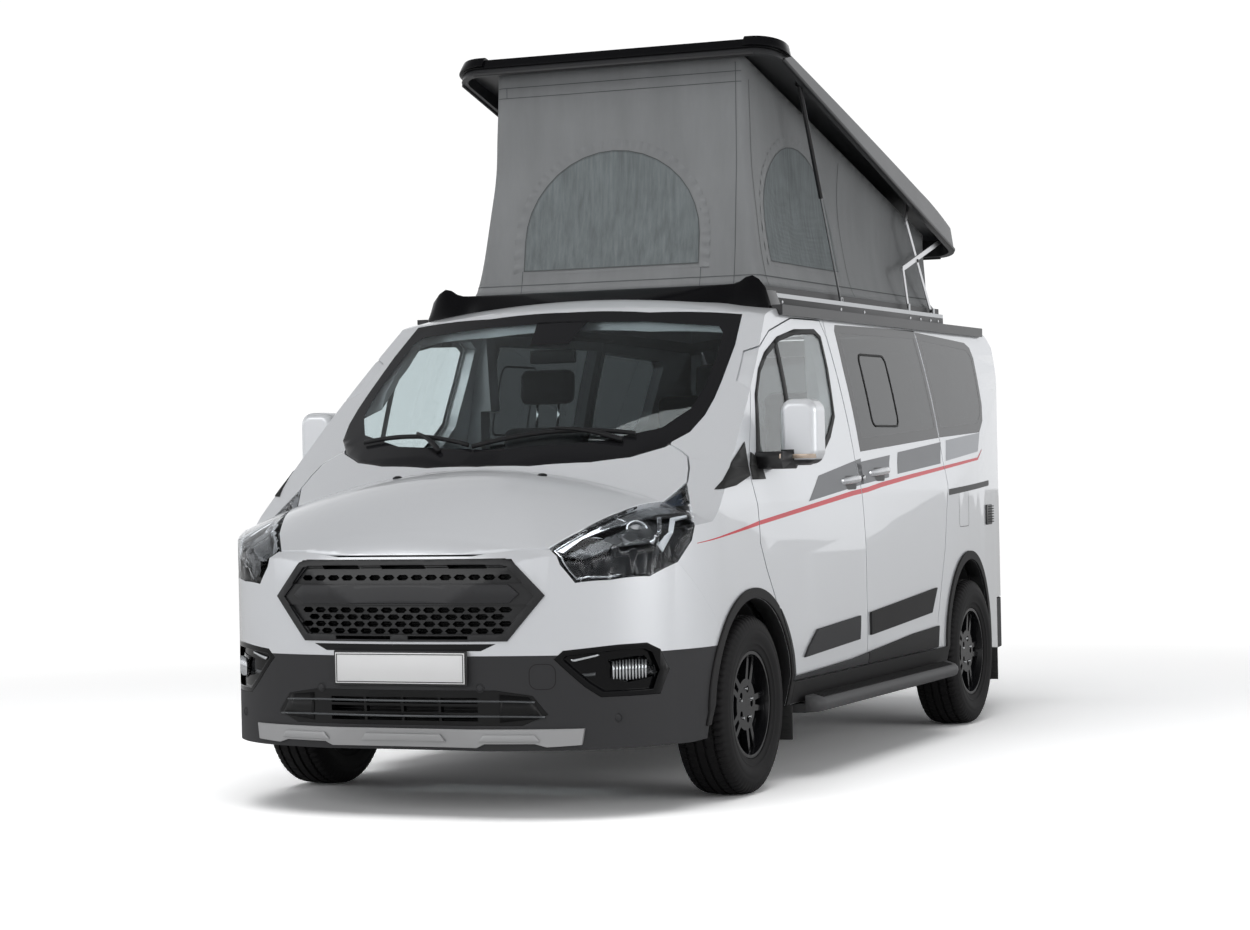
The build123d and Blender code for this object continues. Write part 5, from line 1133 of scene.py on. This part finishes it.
lens = pair("headlamp_lenses", lamp_skin(LAMP_OUTLINE), lens_glass, thickness=0.003,
            sink=0.0005)
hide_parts("headlamps")
pair("headlamp_housings", lamp_skin(LAMP_OUTLINE), lamp_black, thickness=0.004, sink=0.052)
pair("headlamp_rims", lamp_skin(LAMP_OUTLINE, inset=0.009, inside=False), lamp_black,
     thickness=0.046, sink=0.0045)
pair("headlamp_inner_trims",
     lamp_skin([(-0.345, -0.3), (-0.02, -0.3), (-0.20, 0.0), (-0.345, 0.0)],
               part=lamp_skin(LAMP_OUTLINE, inset=0.020, inside=False,
                              part=lamp_skin(LAMP_OUTLINE, inset=0.014))),
     lamp_chrome, thickness=0.003, sink=0.012)
LAMP_STRIPS = [                 # name, finish, thickness, round, sink, patches of the face
    ("headlamp_sweeps", lamp_chrome, 0.012, 0.002, 0.018,
     [[(-0.318, -0.078), (-0.215, -0.018), (-0.205, -0.040), (-0.290, -0.098)],
      [(-0.215, -0.018), (-0.050, 0.066), (-0.020, 0.036), (-0.205, -0.040)],
      [(-0.050, 0.066), (0.110, 0.146), (0.120, 0.088), (-0.020, 0.036)],
      [(0.110, 0.146), (0.225, 0.163), (0.222, 0.118), (0.120, 0.088)]]),
    ("headlamp_guides", light_guide, 0.006, 0.001, 0.014,
     [[(0.158, 0.062), (0.238, 0.098), (0.236, 0.082), (0.170, 0.048)],
      [(0.158, 0.062), (0.175, 0.052), (0.132, -0.036), (0.115, -0.032)],
      [(0.115, -0.032), (0.132, -0.036), (0.082, -0.104), (0.062, -0.094)]]),
    ("headlamp_strips", lamp_chrome, 0.006, 0.0, 0.020,
     [[(0.112, 0.074), (0.130, 0.072), (0.090, -0.030), (0.076, -0.028)],
      [(0.076, -0.028), (0.090, -0.030), (0.045, -0.090), (0.030, -0.082)]]),
    ("headlamp_bezels", lamp_grey, 0.006, 0.0, 0.036,
     [[(-0.285, -0.100), (-0.060, -0.010), (-0.060, -0.082), (-0.215, -0.128)],
      [(-0.060, -0.010), (0.070, 0.060), (0.070, -0.068), (-0.060, -0.082)]]),
    ("headlamp_corners", blue_black, 0.006, 0.0, 0.014,
     [[(0.165, 0.172), (0.262, 0.225), (0.252, 0.168), (0.215, 0.160)]])]
for name, finish, thickness, round_width, sink, quads in LAMP_STRIPS:
    pair(name, lamp_strips(quads), finish, thickness=thickness, round_width=round_width,
         sink=sink)
BOWL = [(0.0, -0.030), (0.018, -0.029), (0.036, -0.021), (0.050, -0.006), (0.055, 0.0),
        (0.058, -0.001), (0.058, -0.008)]
pair("headlamp_bowls", turned(BOWL, on_lamp(-0.165, -0.055, 0.024), LAMP_OUT, (1.25, 0.78)),
     lamp_chrome)
RING = [(0.034, -0.010), (0.034, 0.004), (0.037, 0.007), (0.042, 0.005), (0.044, -0.002),
        (0.044, -0.020)]
pair("projector_rings", turned(RING, on_lamp(0.018, 0.008, 0.020), LAMP_OUT), lamp_chrome)
DOME = [(0.0, 0.010), (0.014, 0.008), (0.025, 0.003), (0.033, -0.008)]
pair("projector_lenses", turned(DOME, on_lamp(0.018, 0.008, 0.020), LAMP_OUT),
     projector_glass)
beads = bmesh.new()
for number in range(34):
    along = number / 33
    across, up = -0.225 + 0.30 * along, -0.125 + 0.055 * along ** 0.8
    made = bmesh.ops.create_icosphere(beads, subdivisions=1, radius=0.0028)["verts"]
    bmesh.ops.translate(beads, vec=on_lamp(across, up, 0.018), verts=made)
pair("headlamp_beads", beads, lamp_chrome)

# ------------------------------------------------------------------ fog lamps
# Black bezels in the bumper corners; each holds a ribbed clear lamp behind a shelf, with
# a bright bar above and a short one below.
dress(["fog_lamps"], gloss_black, 0.003, 3)
FOG_WAY = Vector((0.42, -0.90, 0.0)).normalized()
FOG_PARTS = [                   # name, finish, thickness, sink, outlines in (x, z)
    ("fog_lamp_lenses", lens_glass, 0.002, 0.006,
     [[(0.728, 0.566), (0.822, 0.578), (0.856, 0.520), (0.846, 0.500), (0.782, 0.484),
       (0.752, 0.500)]]),
    ("fog_lamp_bars", lamp_chrome, 0.006, 0.002,
     [[(0.612, 0.572), (0.700, 0.590), (0.704, 0.582), (0.622, 0.562)]]),
    ("fog_lamp_sills", lamp_grey, 0.008, 0.004,
     [[(0.650, 0.520), (0.692, 0.524), (0.690, 0.512), (0.660, 0.508)]])]


def bumper_patch(outlines):
    """Parts of the fog bezel's face and its recess under outlines seen from ahead."""
    return joined([trim_to(skin("fog_lamps", (0.2, -1, 0), 0.4), outline, 1)
                   for outline in outlines])


for name, finish, thickness, sink, outlines in FOG_PARTS:
    pair(name, bumper_patch(outlines), finish, thickness=thickness, sink=-0.010 + sink,
         way=FOG_WAY)
ribs = bmesh.new()
for number in range(11):
    share = number / 10
    x = 0.750 + 0.082 * share
    y = -2.296 + 0.098 * share
    made = bmesh.ops.create_cone(ribs, cap_ends=True, segments=8, radius1=0.0042,
                                 radius2=0.0042, depth=0.062 + 0.01 * math.sin(3 * share))["verts"]
    bmesh.ops.translate(ribs, vec=(x, y, 0.530), verts=made)
pair("fog_lamp_ribs", ribs, lamp_chrome)

# ------------------------------------------------------------------ grille
# Black moulded honeycomb in a satin frame, with one plain grey bar across it.  The
# radiator's black fins stand behind its holes.
grille_black = grained("grille_black", (0.003, 0.003, 0.0032), 0.38, scale=700.0,
                       depth=0.00003, Specular_IOR_Level=0.3)
bar_grey = grained("grille_bar_grey", (0.024, 0.024, 0.026), 0.34, scale=900.0,
                   depth=0.00003, Specular_IOR_Level=0.4)
dress(["grille", "intake_grille"], grille_black, 0.0012)
GRILLE_BAR = [(-0.452, 0.808), (-0.415, 0.776), (0.415, 0.776), (0.452, 0.808),
              (0.415, 0.842), (-0.415, 0.842)]


def nose_skin(node, least=0.6):
    """Faces of a nose piece that look ahead, on both sides."""
    return skin(node, (0, -1, 0), least)


lay("grille_bar", trim_to(nose_skin("grille"), GRILLE_BAR, 1), bar_grey, "van", lift=0.0005,
    thickness=0.009, round_width=0.004, smooth=False)


def tube(mesh, points, radii, sides=8):
    """Bar of changing thickness along points, closed at its ends."""
    sections = []
    for number, point in enumerate(points):
        ahead = points[min(number + 1, len(points) - 1)]
        behind = points[max(number - 1, 0)]
        along = (ahead - behind).normalized()
        side_way = along.cross(Vector((0, 0, 1))).normalized()
        up_way = side_way.cross(along)
        wide, tall = radii[number] if isinstance(radii[number], tuple) else (radii[number],) * 2
        sections.append([point + side_way * wide * math.cos(2 * math.pi * k / sides)
                         + up_way * tall * math.sin(2 * math.pi * k / sides)
                         for k in range(sides)])
    bridged(mesh, sections)


def shrunk(outline, width):
    """Convex outline moved in by a width on every side."""
    middle_x = sum(p[0] for p in outline) / len(outline)
    middle_z = sum(p[1] for p in outline) / len(outline)
    half_x = max(abs(p[0] - middle_x) for p in outline)
    half_z = max(abs(p[1] - middle_z) for p in outline)
    return [(middle_x + (x - middle_x) * (1 - 1.5 * width / half_x),
             middle_z + (z - middle_z) * (1 - width / half_z)) for x, z in outline]


GRILLE_EDGE = [(-0.407, 0.640), (0.407, 0.640), (0.541, 0.801), (0.423, 0.932),
               (-0.423, 0.932), (-0.541, 0.801)]
GRILLE_WEB = shrunk(GRILLE_EDGE, 0.024)
# painted highlight: the honeycomb's front faces get a lighter grey than its black cell walls
web_painted_highlight = grained("grille_web_painted_highlight", (0.014, 0.014, 0.015), 0.34)
lay("grille_web", trim_to(nose_skin("grille", 0.9), GRILLE_WEB, 1), web_painted_highlight, "van",
    lift=0.0002)
lay("grille_frame_trim", trim_to(nose_skin("grille", 0.9), GRILLE_WEB, 1, inside=False),
    satin_black, "van", lift=0.0003, thickness=0.007, round_width=0.006)
GRILLE_SLOT = [(-0.366, 0.631), (-0.311, 0.606), (0.311, 0.606), (0.366, 0.631)]
lay("grille_lower_slot", trim_to(nose_skin("front_bumper", 0.5), GRILLE_SLOT, 1),
    grille_black, "van", lift=0.0005)
INTAKE_RODS = [(0.428, 0.500, 0.008), (0.374, 0.535, 0.004)]     # height, half width, droop
rods = bmesh.new()
for height, half, droop in INTAKE_RODS:
    run = []
    for step in range(25):
        across = (step / 12 - 1) * half
        out = abs(across) / 0.545
        run.append(Vector((across, -2.4885 + 0.257 * across ** 2, height - droop * out ** 6)))
    tube(rods, run, [(0.0035, 0.0045)] * 25)
fitted("intake_rods", outwards(rods), lamp_grey, "van")
FIN_PITCH, FIN_TALL = 0.0095, 0.003
FINS = [                        # name, half width, front, back, lowest fin, number of fins
    ("radiator_fins", 0.40, -2.395, -2.385, 0.652, 28),
    ("cooler_fins", 0.36, -2.392, -2.386, 0.352, 11)]
for name, half, front, back, foot, rows in FINS:
    blocks(name, [((-half, front, foot + FIN_PITCH * row),
                   (half, back, foot + FIN_TALL + FIN_PITCH * row)) for row in range(rows)],
           chassis_paint, "van", 0.0005)
blocks("radiator_shroud", [((-0.44, -2.384, 0.646), (0.44, -2.376, 0.926)),
                           ((-0.40, -2.384, 0.344), (0.40, -2.378, 0.462))],
       grille_black, "van", 0.001)

# ------------------------------------------------------------------ number plates
# Blank white plates in black plastic holders, one ahead and one on the tailgate.
plate_white = grained("plate_white", (0.80, 0.80, 0.80), 0.35, scale=900.0, depth=0.00002,
                      variation=0.03)


def plate(name, low, high, body, facing):
    """Blank plate with pressed rim in its holder; facing is -1 ahead, 1 behind."""
    (x0, y0, z0), (x1, y1, z1) = low, high
    blocks(f"{name}_holder", [((x0 - 0.008, y0, z0 - 0.008), (x1 + 0.008, y1, z1 + 0.008))],
           satin_black, body, 0.004)
    front = y0 if facing < 0 else y1
    y0, y1 = sorted((front, front + facing * 0.003))
    blocks(name, [((x0, y0, z0), (x1, y1, z1))], plate_white, body, 0.001)
    rim, wide = 0.004, 0.003
    y0, y1 = sorted((front + facing * 0.001, front + facing * 0.0042))
    x0, x1, z0, z1 = x0 + rim, x1 - rim, z0 + rim, z1 - rim
    strips = [(x0, x1, z0, z0 + wide), (x0, x1, z1 - wide, z1), (x0, x0 + wide, z0, z1),
              (x1 - wide, x1, z0, z1)]
    blocks(f"{name}_rim", [((left, y0, foot), (right, y1, top))
                           for left, right, foot, top in strips], satin_black, body, 0.0008)


plate("front_plate", (-0.260, -2.494, 0.490), (0.260, -2.482, 0.600), "van", -1)
plate("rear_plate", (-0.260, 2.462, 0.760), (0.260, 2.472, 0.870), "tailgate", 1)

# ------------------------------------------------------------------ bumper fittings
# Satin silver skid trim with three raised pads, the towing-eye cover's seam, four
# parking sensors and two dark lower intake panels.
skid_silver = grained("skid_silver", (0.40, 0.40, 0.405), 0.42, scale=900.0, depth=0.00003,
                      variation=0.05, Metallic=0.5)
dress(["skid_trim"], skid_silver, 0.003)
PADS = [[(-0.52, 0.284), (-0.30, 0.284), (-0.32, 0.310), (-0.50, 0.310)],
        [(-0.17, 0.284), (0.17, 0.284), (0.15, 0.310), (-0.15, 0.310)],
        [(0.30, 0.284), (0.52, 0.284), (0.50, 0.310), (0.32, 0.310)]]
for number, outline in enumerate(PADS):
    lay(f"skid_pad_{number}", trim_to(nose_skin("skid_trim"), outline, 1), skid_silver,
        "van", lift=0.0002, thickness=0.009, round_width=0.003, smooth=False)

outer, inner = rounded_pair(0.480, 0.573, 0.467, 0.559, 0.030, 0.003, 0.027)
lay("towing_cover_seam", between(nose_skin("lower_bumper"), outer, inner, 1), arch_cladding,
    "van", lift=0.0006)
SENSORS = [((0.759, -2.285, 0.361), (0.45, -0.89, 0.0)), ((0.305, -2.465, 0.475), (0.1, -1, 0.0)),
           ((-0.338, -2.460, 0.471), (-0.1, -1, 0.0)), ((-0.759, -2.285, 0.361), (-0.45, -0.89, 0))]
SENSOR_PROFILE = [(0.0, 0.004), (0.010, 0.004), (0.0115, 0.003), (0.012, 0.0), (0.0135, 0.0005),
                  (0.016, 0.003), (0.017, 0.0), (0.017, -0.012)]
fitted("parking_sensors", joined([
    turned(SENSOR_PROFILE, Vector(place), Vector(way).normalized(), steps=24)
    for place, way in SENSORS]), cladding, "van")
SIDE_INTAKES = [[(-0.530, 0.366), (-0.375, 0.352), (-0.375, 0.452), (-0.480, 0.442)],
                [(0.375, 0.352), (0.530, 0.366), (0.480, 0.442), (0.375, 0.452)]]
lay("intake_side_panels", joined([trim_to(nose_skin("intake_grille", 0.5), outline, 1)
                                  for outline in SIDE_INTAKES]), grille_black, "van",
    lift=0.0005, thickness=0.002)

# ------------------------------------------------------------------ door mirrors
# Painted caps on black arms and feet; the silvered glass faces back and a pale amber
# repeater lamp sits low in the front.
dress(["mirror_left", "mirror_right"], silver_paint, 0.008, 3)
mirror_silver = plain("mirror_silver", (0.85, 0.86, 0.87), 0.02, Metallic=1.0)
amber_lens = grained("repeater_lens", (0.62, 0.50, 0.40), 0.15, variation=0.05,
                     Coat_Weight=1.0)
for side, sign in SIDES:
    mirror, door = f"mirror_{side}", f"door_{side}"
    arm = merged(mirror)
    cut(arm, (sign * 1.046, 0, 0), (sign, 0, 0))
    cut(arm, (0, 0, 1.302), (0, 0, 1))
    lay(f"mirror_arm_cover_{side}", arm, satin_black, door, lift=0.0012)
    foot = skin(mirror, (0, 0, -1), -0.2)
    cut(foot, (0, 0, 1.262), (0, 0, 1))
    lay(f"mirror_foot_{side}", foot, satin_black, door, lift=0.0016)
    low, high = span(sign, 0.998, 1.122)
    lay(f"mirror_glass_{side}", trim_to(skin(mirror, (0, 1, 0), 0.6), [
        (low, 1.262), (high, 1.262), (high, 1.485), (low, 1.485)], 1), mirror_silver, door,
        lift=0.0015)
    low, high = span(sign, 1.035, 1.128)
    lay(f"mirror_repeater_{side}", trim_to(skin(mirror, (0, -1, 0)), [
        (low, 1.268), (high, 1.268), (high, 1.284), (low, 1.284)], 1), amber_lens, door,
        lift=0.001, thickness=0.002)

# ------------------------------------------------------------------ door handles
# Painted pull handles over dark cups, a lock barrel beside the front one, the black runner
# slot of the sliding door, and on the left the heater's vent and the supply flap's seam.
HANDLES = [("front", "door_{side}", "door_{side}", -0.368, -0.108, 1.172),
           ("slide", "sliding_doors", "van", 0.017, 0.304, 1.202)]
handle_shine = grained("handle_satin_paint", (0.52, 0.53, 0.55), 0.22, scale=1500.0,
                       depth=0.00001, variation=0.03, Metallic=0.7, Coat_Weight=1.0,
                       Coat_Roughness=0.04)


def side_face(node, sign, y, z):
    """Outermost x of a panel at a place seen from the side."""
    part = trim_to(skin(node, (sign, 0, 0)),
                   [(y - 0.01, z - 0.01), (y + 0.01, z - 0.01), (y + 0.01, z + 0.01),
                    (y - 0.01, z + 0.01)], 0)
    reach = max((abs(vert.co.x) for vert in part.verts), default=0.97)
    part.free()
    return reach


for side, sign in SIDES:
    for name, node, body, start, end, height in HANDLES:
        node, body = node.format(side=side), body.format(side=side)
        middle = (start + end) / 2
        face_x = side_face(node, sign, middle, height)
        half = (end - start) / 2
        sections = []
        for step in range(13):
            share = step / 12 * 2 - 1
            lift = 0.004 + 0.017 * (1 - abs(share) ** 4)
            tall = 0.013 + 0.004 * (1 - share ** 2)
            ring = []
            for corner in range(10):
                angle = 2 * math.pi * corner / 10
                ring.append((sign * (face_x - 0.004 + lift * (0.55 + 0.45 * math.cos(angle))),
                             middle + share * half,
                             height + 0.045 * share * half + tall * math.sin(angle)))
            sections.append(ring)
        fitted(f"{name}_handle_{side}", loft(sections), handle_shine, body)
        cup = rounded(middle - 0.085, middle + 0.055, height - 0.040, height + 0.018, 0.026)
        lay(f"{name}_handle_cup_{side}", trim_to(skin(node, (sign, 0, 0)), cup, 0),
            satin_black, body, lift=0.0008)
    lock_x = side_face(f"door_{side}", sign, -0.250, 1.150)
    barrel = turned([(0.0, 0.004), (0.008, 0.004), (0.010, 0.003), (0.0105, -0.004)],
                    Vector((sign * lock_x, -0.082, 1.180)), Vector((sign, 0, 0)), steps=20)
    fitted(f"door_lock_{side}", barrel, chrome, f"door_{side}")
    slot_outline = [(1.128, 1.082), (1.950, 1.114), (1.960, 1.124), (1.955, 1.140),
                    (1.128, 1.110)]
    lay(f"slider_slot_{side}", trim_to(skin(f"body_side_{side}", (sign, 0, 0)),
                                       slot_outline, 0), satin_black, "van", lift=0.0006)
vent_outline = rounded(1.862, 2.010, 0.925, 1.022, 0.012)
lay("heater_vent", trim_to(skin("body_side_left", (1, 0, 0)), vent_outline, 0), satin_black,
    "van", lift=0.0006, thickness=0.006, round_width=0.002)
grid_x = side_face("body_side_left", 1, 1.936, 0.974)
blocks("heater_vent_bars", [((grid_x + 0.004, 1.874, 0.936 + 0.0125 * row),
                             (grid_x + 0.010, 1.998, 0.941 + 0.0125 * row))
                            for row in range(7)], cladding, "van", 0.001)
outer, inner = rounded_pair(1.300, 1.480, 0.930, 1.100, 0.020, 0.0025, 0.018)
lay("supply_flap_seam", between(skin("body_side_left", (1, 0, 0)), outer, inner, 0),
    seal_rubber, "van", lift=0.0004)

# ------------------------------------------------------------------ wipers and washers
# Wiper arms and blades parked along the foot of the screen, and two washer jets in the
# bonnet.
wiper_black = grained("wiper_black", (0.010, 0.010, 0.011), 0.45,
                      Specular_IOR_Level=0.3)


def surface_point(node, x, y, lift):
    """Point on top of a CAD piece under a place in plan."""
    found, place, normal, _ = nodes[node].ray_cast(Vector((x, y, 3.0)), Vector((0, 0, -1)))
    return (place + normal * lift) if found else Vector((x, y, 1.3))


WIPERS = [                      # pivot, blade ends, in plan
    ((0.520, -1.640), (0.560, -1.600), (-0.060, -1.740)),
    ((-0.200, -1.745), (-0.080, -1.730), (-0.600, -1.600))]
arms = bmesh.new()
for pivot, first, last in WIPERS:
    blade = [surface_point("windscreen", first[0] + (last[0] - first[0]) * s / 12,
                           first[1] + (last[1] - first[1]) * s / 12
                           + 0.020 * math.sin(math.pi * s / 12), 0.014) for s in range(13)]
    tube(arms, blade, [(0.006, 0.009)] * 13)
    base = surface_point("windscreen", pivot[0], pivot[1], 0.010)
    knee = blade[6] + Vector((0, 0, 0.012))
    run = [base.lerp(knee, s / 6) + Vector((0, 0, 0.012 * math.sin(math.pi * s / 6)))
           for s in range(7)]
    tube(arms, run, [0.011, 0.011, 0.010, 0.009, 0.008, 0.007, 0.007])
fitted("wipers", outwards(arms), wiper_black, "van")
jets = [turned([(0.0, 0.008), (0.008, 0.007), (0.014, 0.003), (0.015, -0.002)],
               surface_point("bonnet", x, -1.900, 0.0), Vector((0, -0.35, 0.94)), (1.4, 0.8), 20)
        for x in (0.304, -0.304)]
fitted("washer_jets", joined(jets), wiper_black, "bonnet")

# ------------------------------------------------------------------ rear lamps and tail
# Upright red lamp clusters with amber and white fields, the border of the tailgate's pane,
# its plain garnish and its wiper.
red_lens = grained("red_lens", (0.30, 0.008, 0.012), 0.12, scale=120.0, depth=0.0002,
                   variation=0.15, patches=30.0, Coat_Weight=1.0, Coat_Roughness=0.03)
dress(["tail_lamps"], red_lens, 0.004)
white_lens = grained("white_lens", (0.60, 0.60, 0.60), 0.15, scale=120.0, depth=0.0002,
                     patches=30.0, Coat_Weight=1.0)
for side, sign in SIDES:
    low, high = span(sign, 0.71, 0.864)
    for field, finish, foot, top in (("reverse", white_lens, 1.115, 1.190),
                                     ("turn", amber_lens, 1.200, 1.275)):
        part = trim_to(skin("tail_lamps", (sign * 0.3, 1, 0)),
                       [(low, foot), (high, foot), (high, top), (low, top)], 1)
        lay(f"tail_lamp_{field}_{side}", part, finish, "van", lift=0.0008)
rear_border = trim_to(skin("tailgate_glass", (0, 1, 0.1)),
                      rounded(-0.545, 0.545, 1.315, 1.748, 0.06), 1, inside=False)
lay("rear_pane_border", rear_border, black_frit, "tailgate", lift=0.0005)
garnish = trim_to(skin("tailgate", (0, 1, 0.05)),
                  [(-0.345, 0.905), (0.345, 0.905), (0.345, 0.975), (-0.345, 0.975)], 1)
lay("tailgate_garnish", garnish, satin_black, "tailgate", lift=0.001, thickness=0.014,
    round_width=0.004)
spine = bmesh.new()
rear_pivot = Vector((0.0, 2.452, 1.262))
rear_blade = [Vector((-0.020 - 0.42 * s / 10, 2.447 - 0.008 * s / 10,
                      1.318 + 0.030 * math.sin(math.pi * s / 10))) for s in range(11)]
tube(spine, rear_blade, [(0.006, 0.008)] * 11)
tube(spine, [rear_pivot, rear_pivot.lerp(rear_blade[5], 0.5) + Vector((0, 0.012, 0)),
             rear_blade[5] + Vector((0, 0.008, 0))], [0.013, 0.009, 0.007])
fitted("rear_wiper", outwards(spine), wiper_black, "tailgate")

# ------------------------------------------------------------------ cab
# Dashboard moulded in dark grained plastic, a leather-covered steering wheel with its boss,
# a lining over the windscreen's head and the rear-view mirror.
cab_plastic = grained("cab_plastic", (0.016, 0.016, 0.017), 0.55, scale=700.0,
                      depth=0.00012, variation=0.12, Specular_IOR_Level=0.3)
dress(["dashboard"], cab_plastic, 0.006, 3)
wheel_leather = grained("wheel_leather", (0.014, 0.014, 0.014), 0.45, scale=500.0,
                        depth=0.0002, variation=0.15)
WHEEL_CENTRE = Vector((0.400, -1.080, 1.150))
WHEEL_WAY = Vector((0.0, 0.87, 0.50)).normalized()
rim_profile = [(0.186 + 0.0165 * math.cos(2 * math.pi * k / 12),
                0.0165 * math.sin(2 * math.pi * k / 12)) for k in range(13)]
fitted("steering_wheel_grip", turned(rim_profile, WHEEL_CENTRE, WHEEL_WAY, steps=64),
       wheel_leather, "van")
boss = turned([(0.0, 0.020), (0.045, 0.018), (0.070, 0.010), (0.082, -0.004), (0.084, -0.02)],
              WHEEL_CENTRE, WHEEL_WAY, (1.0, 0.8), 40)
fitted("steering_wheel_boss", boss, cab_plastic, "van")
blocks("cab_roof_lining", [((-0.62, -0.78, 1.862), (0.62, -0.60, 1.868))], cab_plastic, "van",
       0.002)
blocks("rear_view_mirror", [((-0.10, -1.125, 1.665), (0.10, -1.100, 1.720))], cab_plastic,
       "van", 0.008)

# ------------------------------------------------------------------ cab seats and bench
# Foam seats in dark woven cloth: cushions and backrests swell between their sewn edges.
seat_cloth = grained("seat_cloth", (0.030, 0.030, 0.033), 0.85, scale=1800.0, depth=0.0003,
                     variation=0.18, patches=4.0, Sheen_Weight=0.2)
add_weave(seat_cloth, 220.0, 0.0002)


def padded_block(name, low, high, lean=None, cap=0.014, corner=0.045):
    """Cushion blown up by cloth simulation from a slightly smaller rounded block."""
    mesh = bmesh.new()
    bar(mesh, low, high)
    bmesh.ops.bevel(mesh, geom=mesh.edges[:], affect="EDGES", offset=corner, segments=3,
                    profile=0.5, material=-1)
    if lean:
        pivot, angle = lean
        bmesh.ops.transform(mesh, verts=mesh.verts, matrix=about(
            pivot, Matrix.Rotation(math.radians(angle), 4, "X")))
    pad = link(name, mesh, [seat_cloth])
    swell(pad, cap)
    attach(pad, "van")


def swell(pad, cap):
    """Remesh a pad evenly, blow it up as cloth, and cap how far each point moved."""
    remesh = pad.modifiers.new("even", "REMESH")
    remesh.mode = "VOXEL"
    remesh.voxel_size = 0.014
    apply_all(pad)
    rest = [vert.co.copy() for vert in pad.data.vertices]
    cloth = pad.modifiers.new("cloth", "CLOTH")
    cloth.settings.use_pressure = True
    cloth.settings.uniform_pressure_force = 4.0
    cloth.settings.effector_weights.gravity = 0.0
    cloth.point_cache.frame_start, cloth.point_cache.frame_end = 1, 14
    for step in range(1, 15):
        scene.frame_set(step)
    apply_all(pad)
    scene.frame_set(1)
    for vert, start in zip(pad.data.vertices, rest):
        moved = vert.co - start
        if moved.length > cap:
            vert.co = start + moved * (cap / moved.length)
    pad.data.shade_smooth()


def apply_all(piece):
    """Replace a piece's mesh by what its modifiers make of it."""
    graph = bpy.context.evaluated_depsgraph_get()
    graph.update()
    final = bpy.data.meshes.new_from_object(piece.evaluated_get(graph), depsgraph=graph)
    piece.modifiers.clear()
    piece.data = final


SEATS = [("driver", 0.410), ("passenger", -0.410)]
for who, x in SEATS:
    padded_block(f"{who}_cushion", (x - 0.205, -0.895, 0.815), (x + 0.205, -0.435, 0.915),
                 ((x, -0.65, 0.865), 2.0))
    padded_block(f"{who}_backrest", (x - 0.205, -0.430, 0.880), (x + 0.205, -0.335, 1.440),
                 ((x, -0.38, 0.90), -8.5))
    padded_block(f"{who}_headrest", (x - 0.125, -0.318, 1.520), (x + 0.125, -0.248, 1.670),
                 ((x, -0.28, 1.59), -6.0), cap=0.010, corner=0.030)
    stalks = bmesh.new()
    for shift in (-0.05, 0.05):
        tube(stalks, [Vector((x + shift, -0.300, 1.42)), Vector((x + shift, -0.288, 1.48)),
                      Vector((x + shift, -0.282, 1.54))], [0.006] * 3)
    fitted(f"{who}_headrest_stalks", outwards(stalks), chrome, "van")
    blocks(f"{who}_seat_base", [((x - 0.200, -0.790, 0.542), (x + 0.200, -0.390, 0.790)),
                                ((x - 0.222, -0.860, 0.790), (x + 0.222, -0.360, 0.822))],
           cab_plastic, "van", 0.012)
for place, x_low, x_high in (("left", 0.0, 0.405), ("right", -0.545, -0.010)):
    padded_block(f"bench_cushion_{place}", (x_low, 0.725, 0.800), (x_high, 1.150, 0.905))
    padded_block(f"bench_backrest_{place}", (x_low, 1.150, 0.940), (x_high, 1.235, 1.600),
                 ((0.0, 1.19, 0.95), -8.0))
blocks("bench_box", [((-0.555, 0.74, 0.542), (0.415, 1.22, 0.792)),
                     ((-0.555, 1.215, 0.60), (0.415, 1.24, 0.90))], cab_plastic, "van", 0.006)
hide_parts("front_seats")
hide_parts("rear_bench")

# ------------------------------------------------------------------ kitchen unit
# Pale laminated board carcass with three doors and two drawers, edged in grey, with round
# finger pulls.
board = grained("laminated_board", (0.48, 0.45, 0.40), 0.4, scale=60.0, depth=0.00002,
                variation=0.12, patches=14.0)
dress(["kitchen_unit"], board, 0.003)
board_edge = grained("board_edging", (0.22, 0.22, 0.22), 0.45, variation=0.05)
DOORS = [(0.975, 1.370, 0.600, 1.000), (1.385, 1.780, 0.600, 1.000),
         (1.795, 2.185, 0.600, 1.000), (0.975, 1.780, 1.015, 1.150),
         (1.795, 2.185, 1.015, 1.150)]
blocks("kitchen_fronts", [((0.552, y0, z0), (0.562, y1, z1)) for y0, y1, z0, z1 in DOORS],
       board, "van", 0.002)
blocks("kitchen_edging", [((0.548, 0.962, 1.168), (0.694, 2.198, 1.184))], board_edge, "van",
       0.003)
pulls = [turned([(0.0, 0.003), (0.011, 0.003), (0.0125, 0.0015), (0.0125, -0.002)],
                Vector((0.551, (y0 + y1) / 2, z1 - 0.035)), Vector((-1, 0, 0)), steps=18)
         for y0, y1, z0, z1 in DOORS]
fitted("kitchen_pulls", joined(pulls), chrome, "van")

# ------------------------------------------------------------------ floor covering
# Plywood boards close the floor between the wheel boxes and in the footwell, and dark
# vinyl is glued over all of it.
floor_vinyl = grained("floor_vinyl", (0.045, 0.045, 0.047), 0.6, scale=600.0, depth=0.00008,
                      variation=0.15, patches=4.0)
FLOOR_TOP = 0.5402
blocks("floor_boards", [((-0.545, -1.503, 0.514), (0.545, -1.075, 0.5395)),
                        ((-0.698, 1.050, 0.514), (0.698, 1.882, 0.5395))],
       floor_vinyl, "van", 0.003)
blocks("floor_covering", [((-0.820, -1.060, FLOOR_TOP), (0.820, 1.049, FLOOR_TOP + 0.003)),
                          ((-0.690, 1.051, FLOOR_TOP), (0.690, 1.880, FLOOR_TOP + 0.003)),
                          ((-0.790, 1.882, FLOOR_TOP), (0.790, 2.300, FLOOR_TOP + 0.003))],
       floor_vinyl, "van", 0.001)

bpy.context.view_layer.update()
